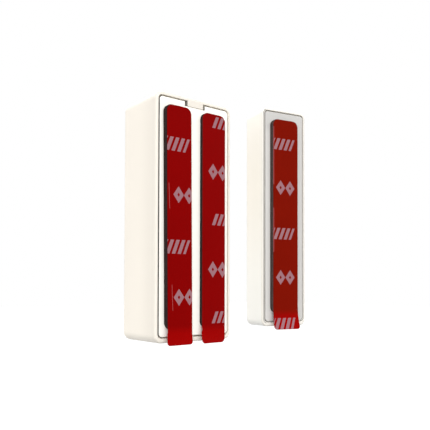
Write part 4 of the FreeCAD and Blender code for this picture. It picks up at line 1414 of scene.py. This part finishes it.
RIGHT_FILM = ReleaseFilm("right_film", DEEP_RED, RIGHT_PRINT)
MAGNET_PRINT = Print(
    phase=10.95, pitch=17.35, bars_half=2.2, bars_drop=0.45, diamonds_from=-4.5, diamonds_to=4.3
)
# The magnet film has a painted highlight along two stretches of its left edge.
MAGNET_FILM = ReleaseFilm(
    "magnet_film", (0.187, 0.0053, 0.001), MAGNET_PRINT,
    hanging=(0.29, 0.0015, 0.001), left_edge=-5.6, glints=((12.0, 34.5), (-14.0, 3.0)),
)

STRIPS = (
    TapeStrip(
        Mount.LEFT, "left_tape_foam", "left_tape_liner", "mounting_cover", "left_liner",
        LEFT_FILM, lean=-0.55, tail_twist=0.3 * MM,
    ),
    TapeStrip(
        Mount.RIGHT, "right_tape_foam", "right_tape_liner", "mounting_cover", "right_liner",
        RIGHT_FILM, tail_twist=-0.7 * MM, foam_out=-0.15 * MM, film_in=0.05 * MM,
        tail_corner_right=1.6 * MM,
    ),
    TapeStrip(
        Mount.MAGNET, "magnet_tape_foam", "magnet_tape_liner", "magnet_unit", "magnet_liner",
        MAGNET_FILM, wide=11.5 * MM, top=37.4 * MM, foam_end=-38.1 * MM, tail=5.7 * MM,
        lift=3.0 * MM, tail_out=0.0, tail_twist=1.0 * MM, tail_corner_left=1.3 * MM,
        tail_corner_right=1.3 * MM,
    ),
)
HOUSINGS = Dressing(
    "housings",
    {
        CASE_WHITE: ("front_case",),
        COVER_WHITE: ("back_cover", "release_catch"),
        MAGNET_WHITE: ("magnet_case",),
        MAGNET_GREY: ("magnet_cover",),
    },
)
INSIDES = Dressing(
    "insides",
    {
        LACQUER: ("circuit_board",),
        ZINC: ("board_screws",),
        BLACK_PLASTIC: ("battery_holder", "pairing_switch", "tamper_switch"),
        NICKEL: (
            "battery_can", "battery_cap", "negative_contact", "positive_contact",
            "reed_leads", "reed_fixed_blade", "reed_moving_blade",
        ),
        ELECTRODE: ("electrode_roll",),
        SLEEVE: ("battery_sleeve",),
        GLASS: ("reed_glass",),
        TIN: ("radio_shield", "antenna", "clock_crystal"),
        CHIP_RESIN: ("radio_chip", "processor"),
        CAN_ALUMINIUM: ("storage_capacitor",),
        GREY_PLASTIC: ("pairing_button", "tamper_plunger"),
        RESIN: ("status_light", "light_pipe"),
        FERRITE: ("bar_magnet",),
    },
)


def main() -> None:
    """Builds the door sensor and its studio."""
    logging.basicConfig(level=logging.INFO, format="%(name)s: %(message)s")
    foam, magnet_foam = TAPE_FOAM.make(), MAGNET_FOAM.make()
    HOUSINGS.build()
    INSIDES.build()
    for strip in STRIPS:
        strip.build(magnet_foam if strip.mount is Mount.MAGNET else foam)
    MagnetPad().build(magnet_foam)
    BoardChips().build()
    Studio().build()


if __name__ == "__main__":
    main()
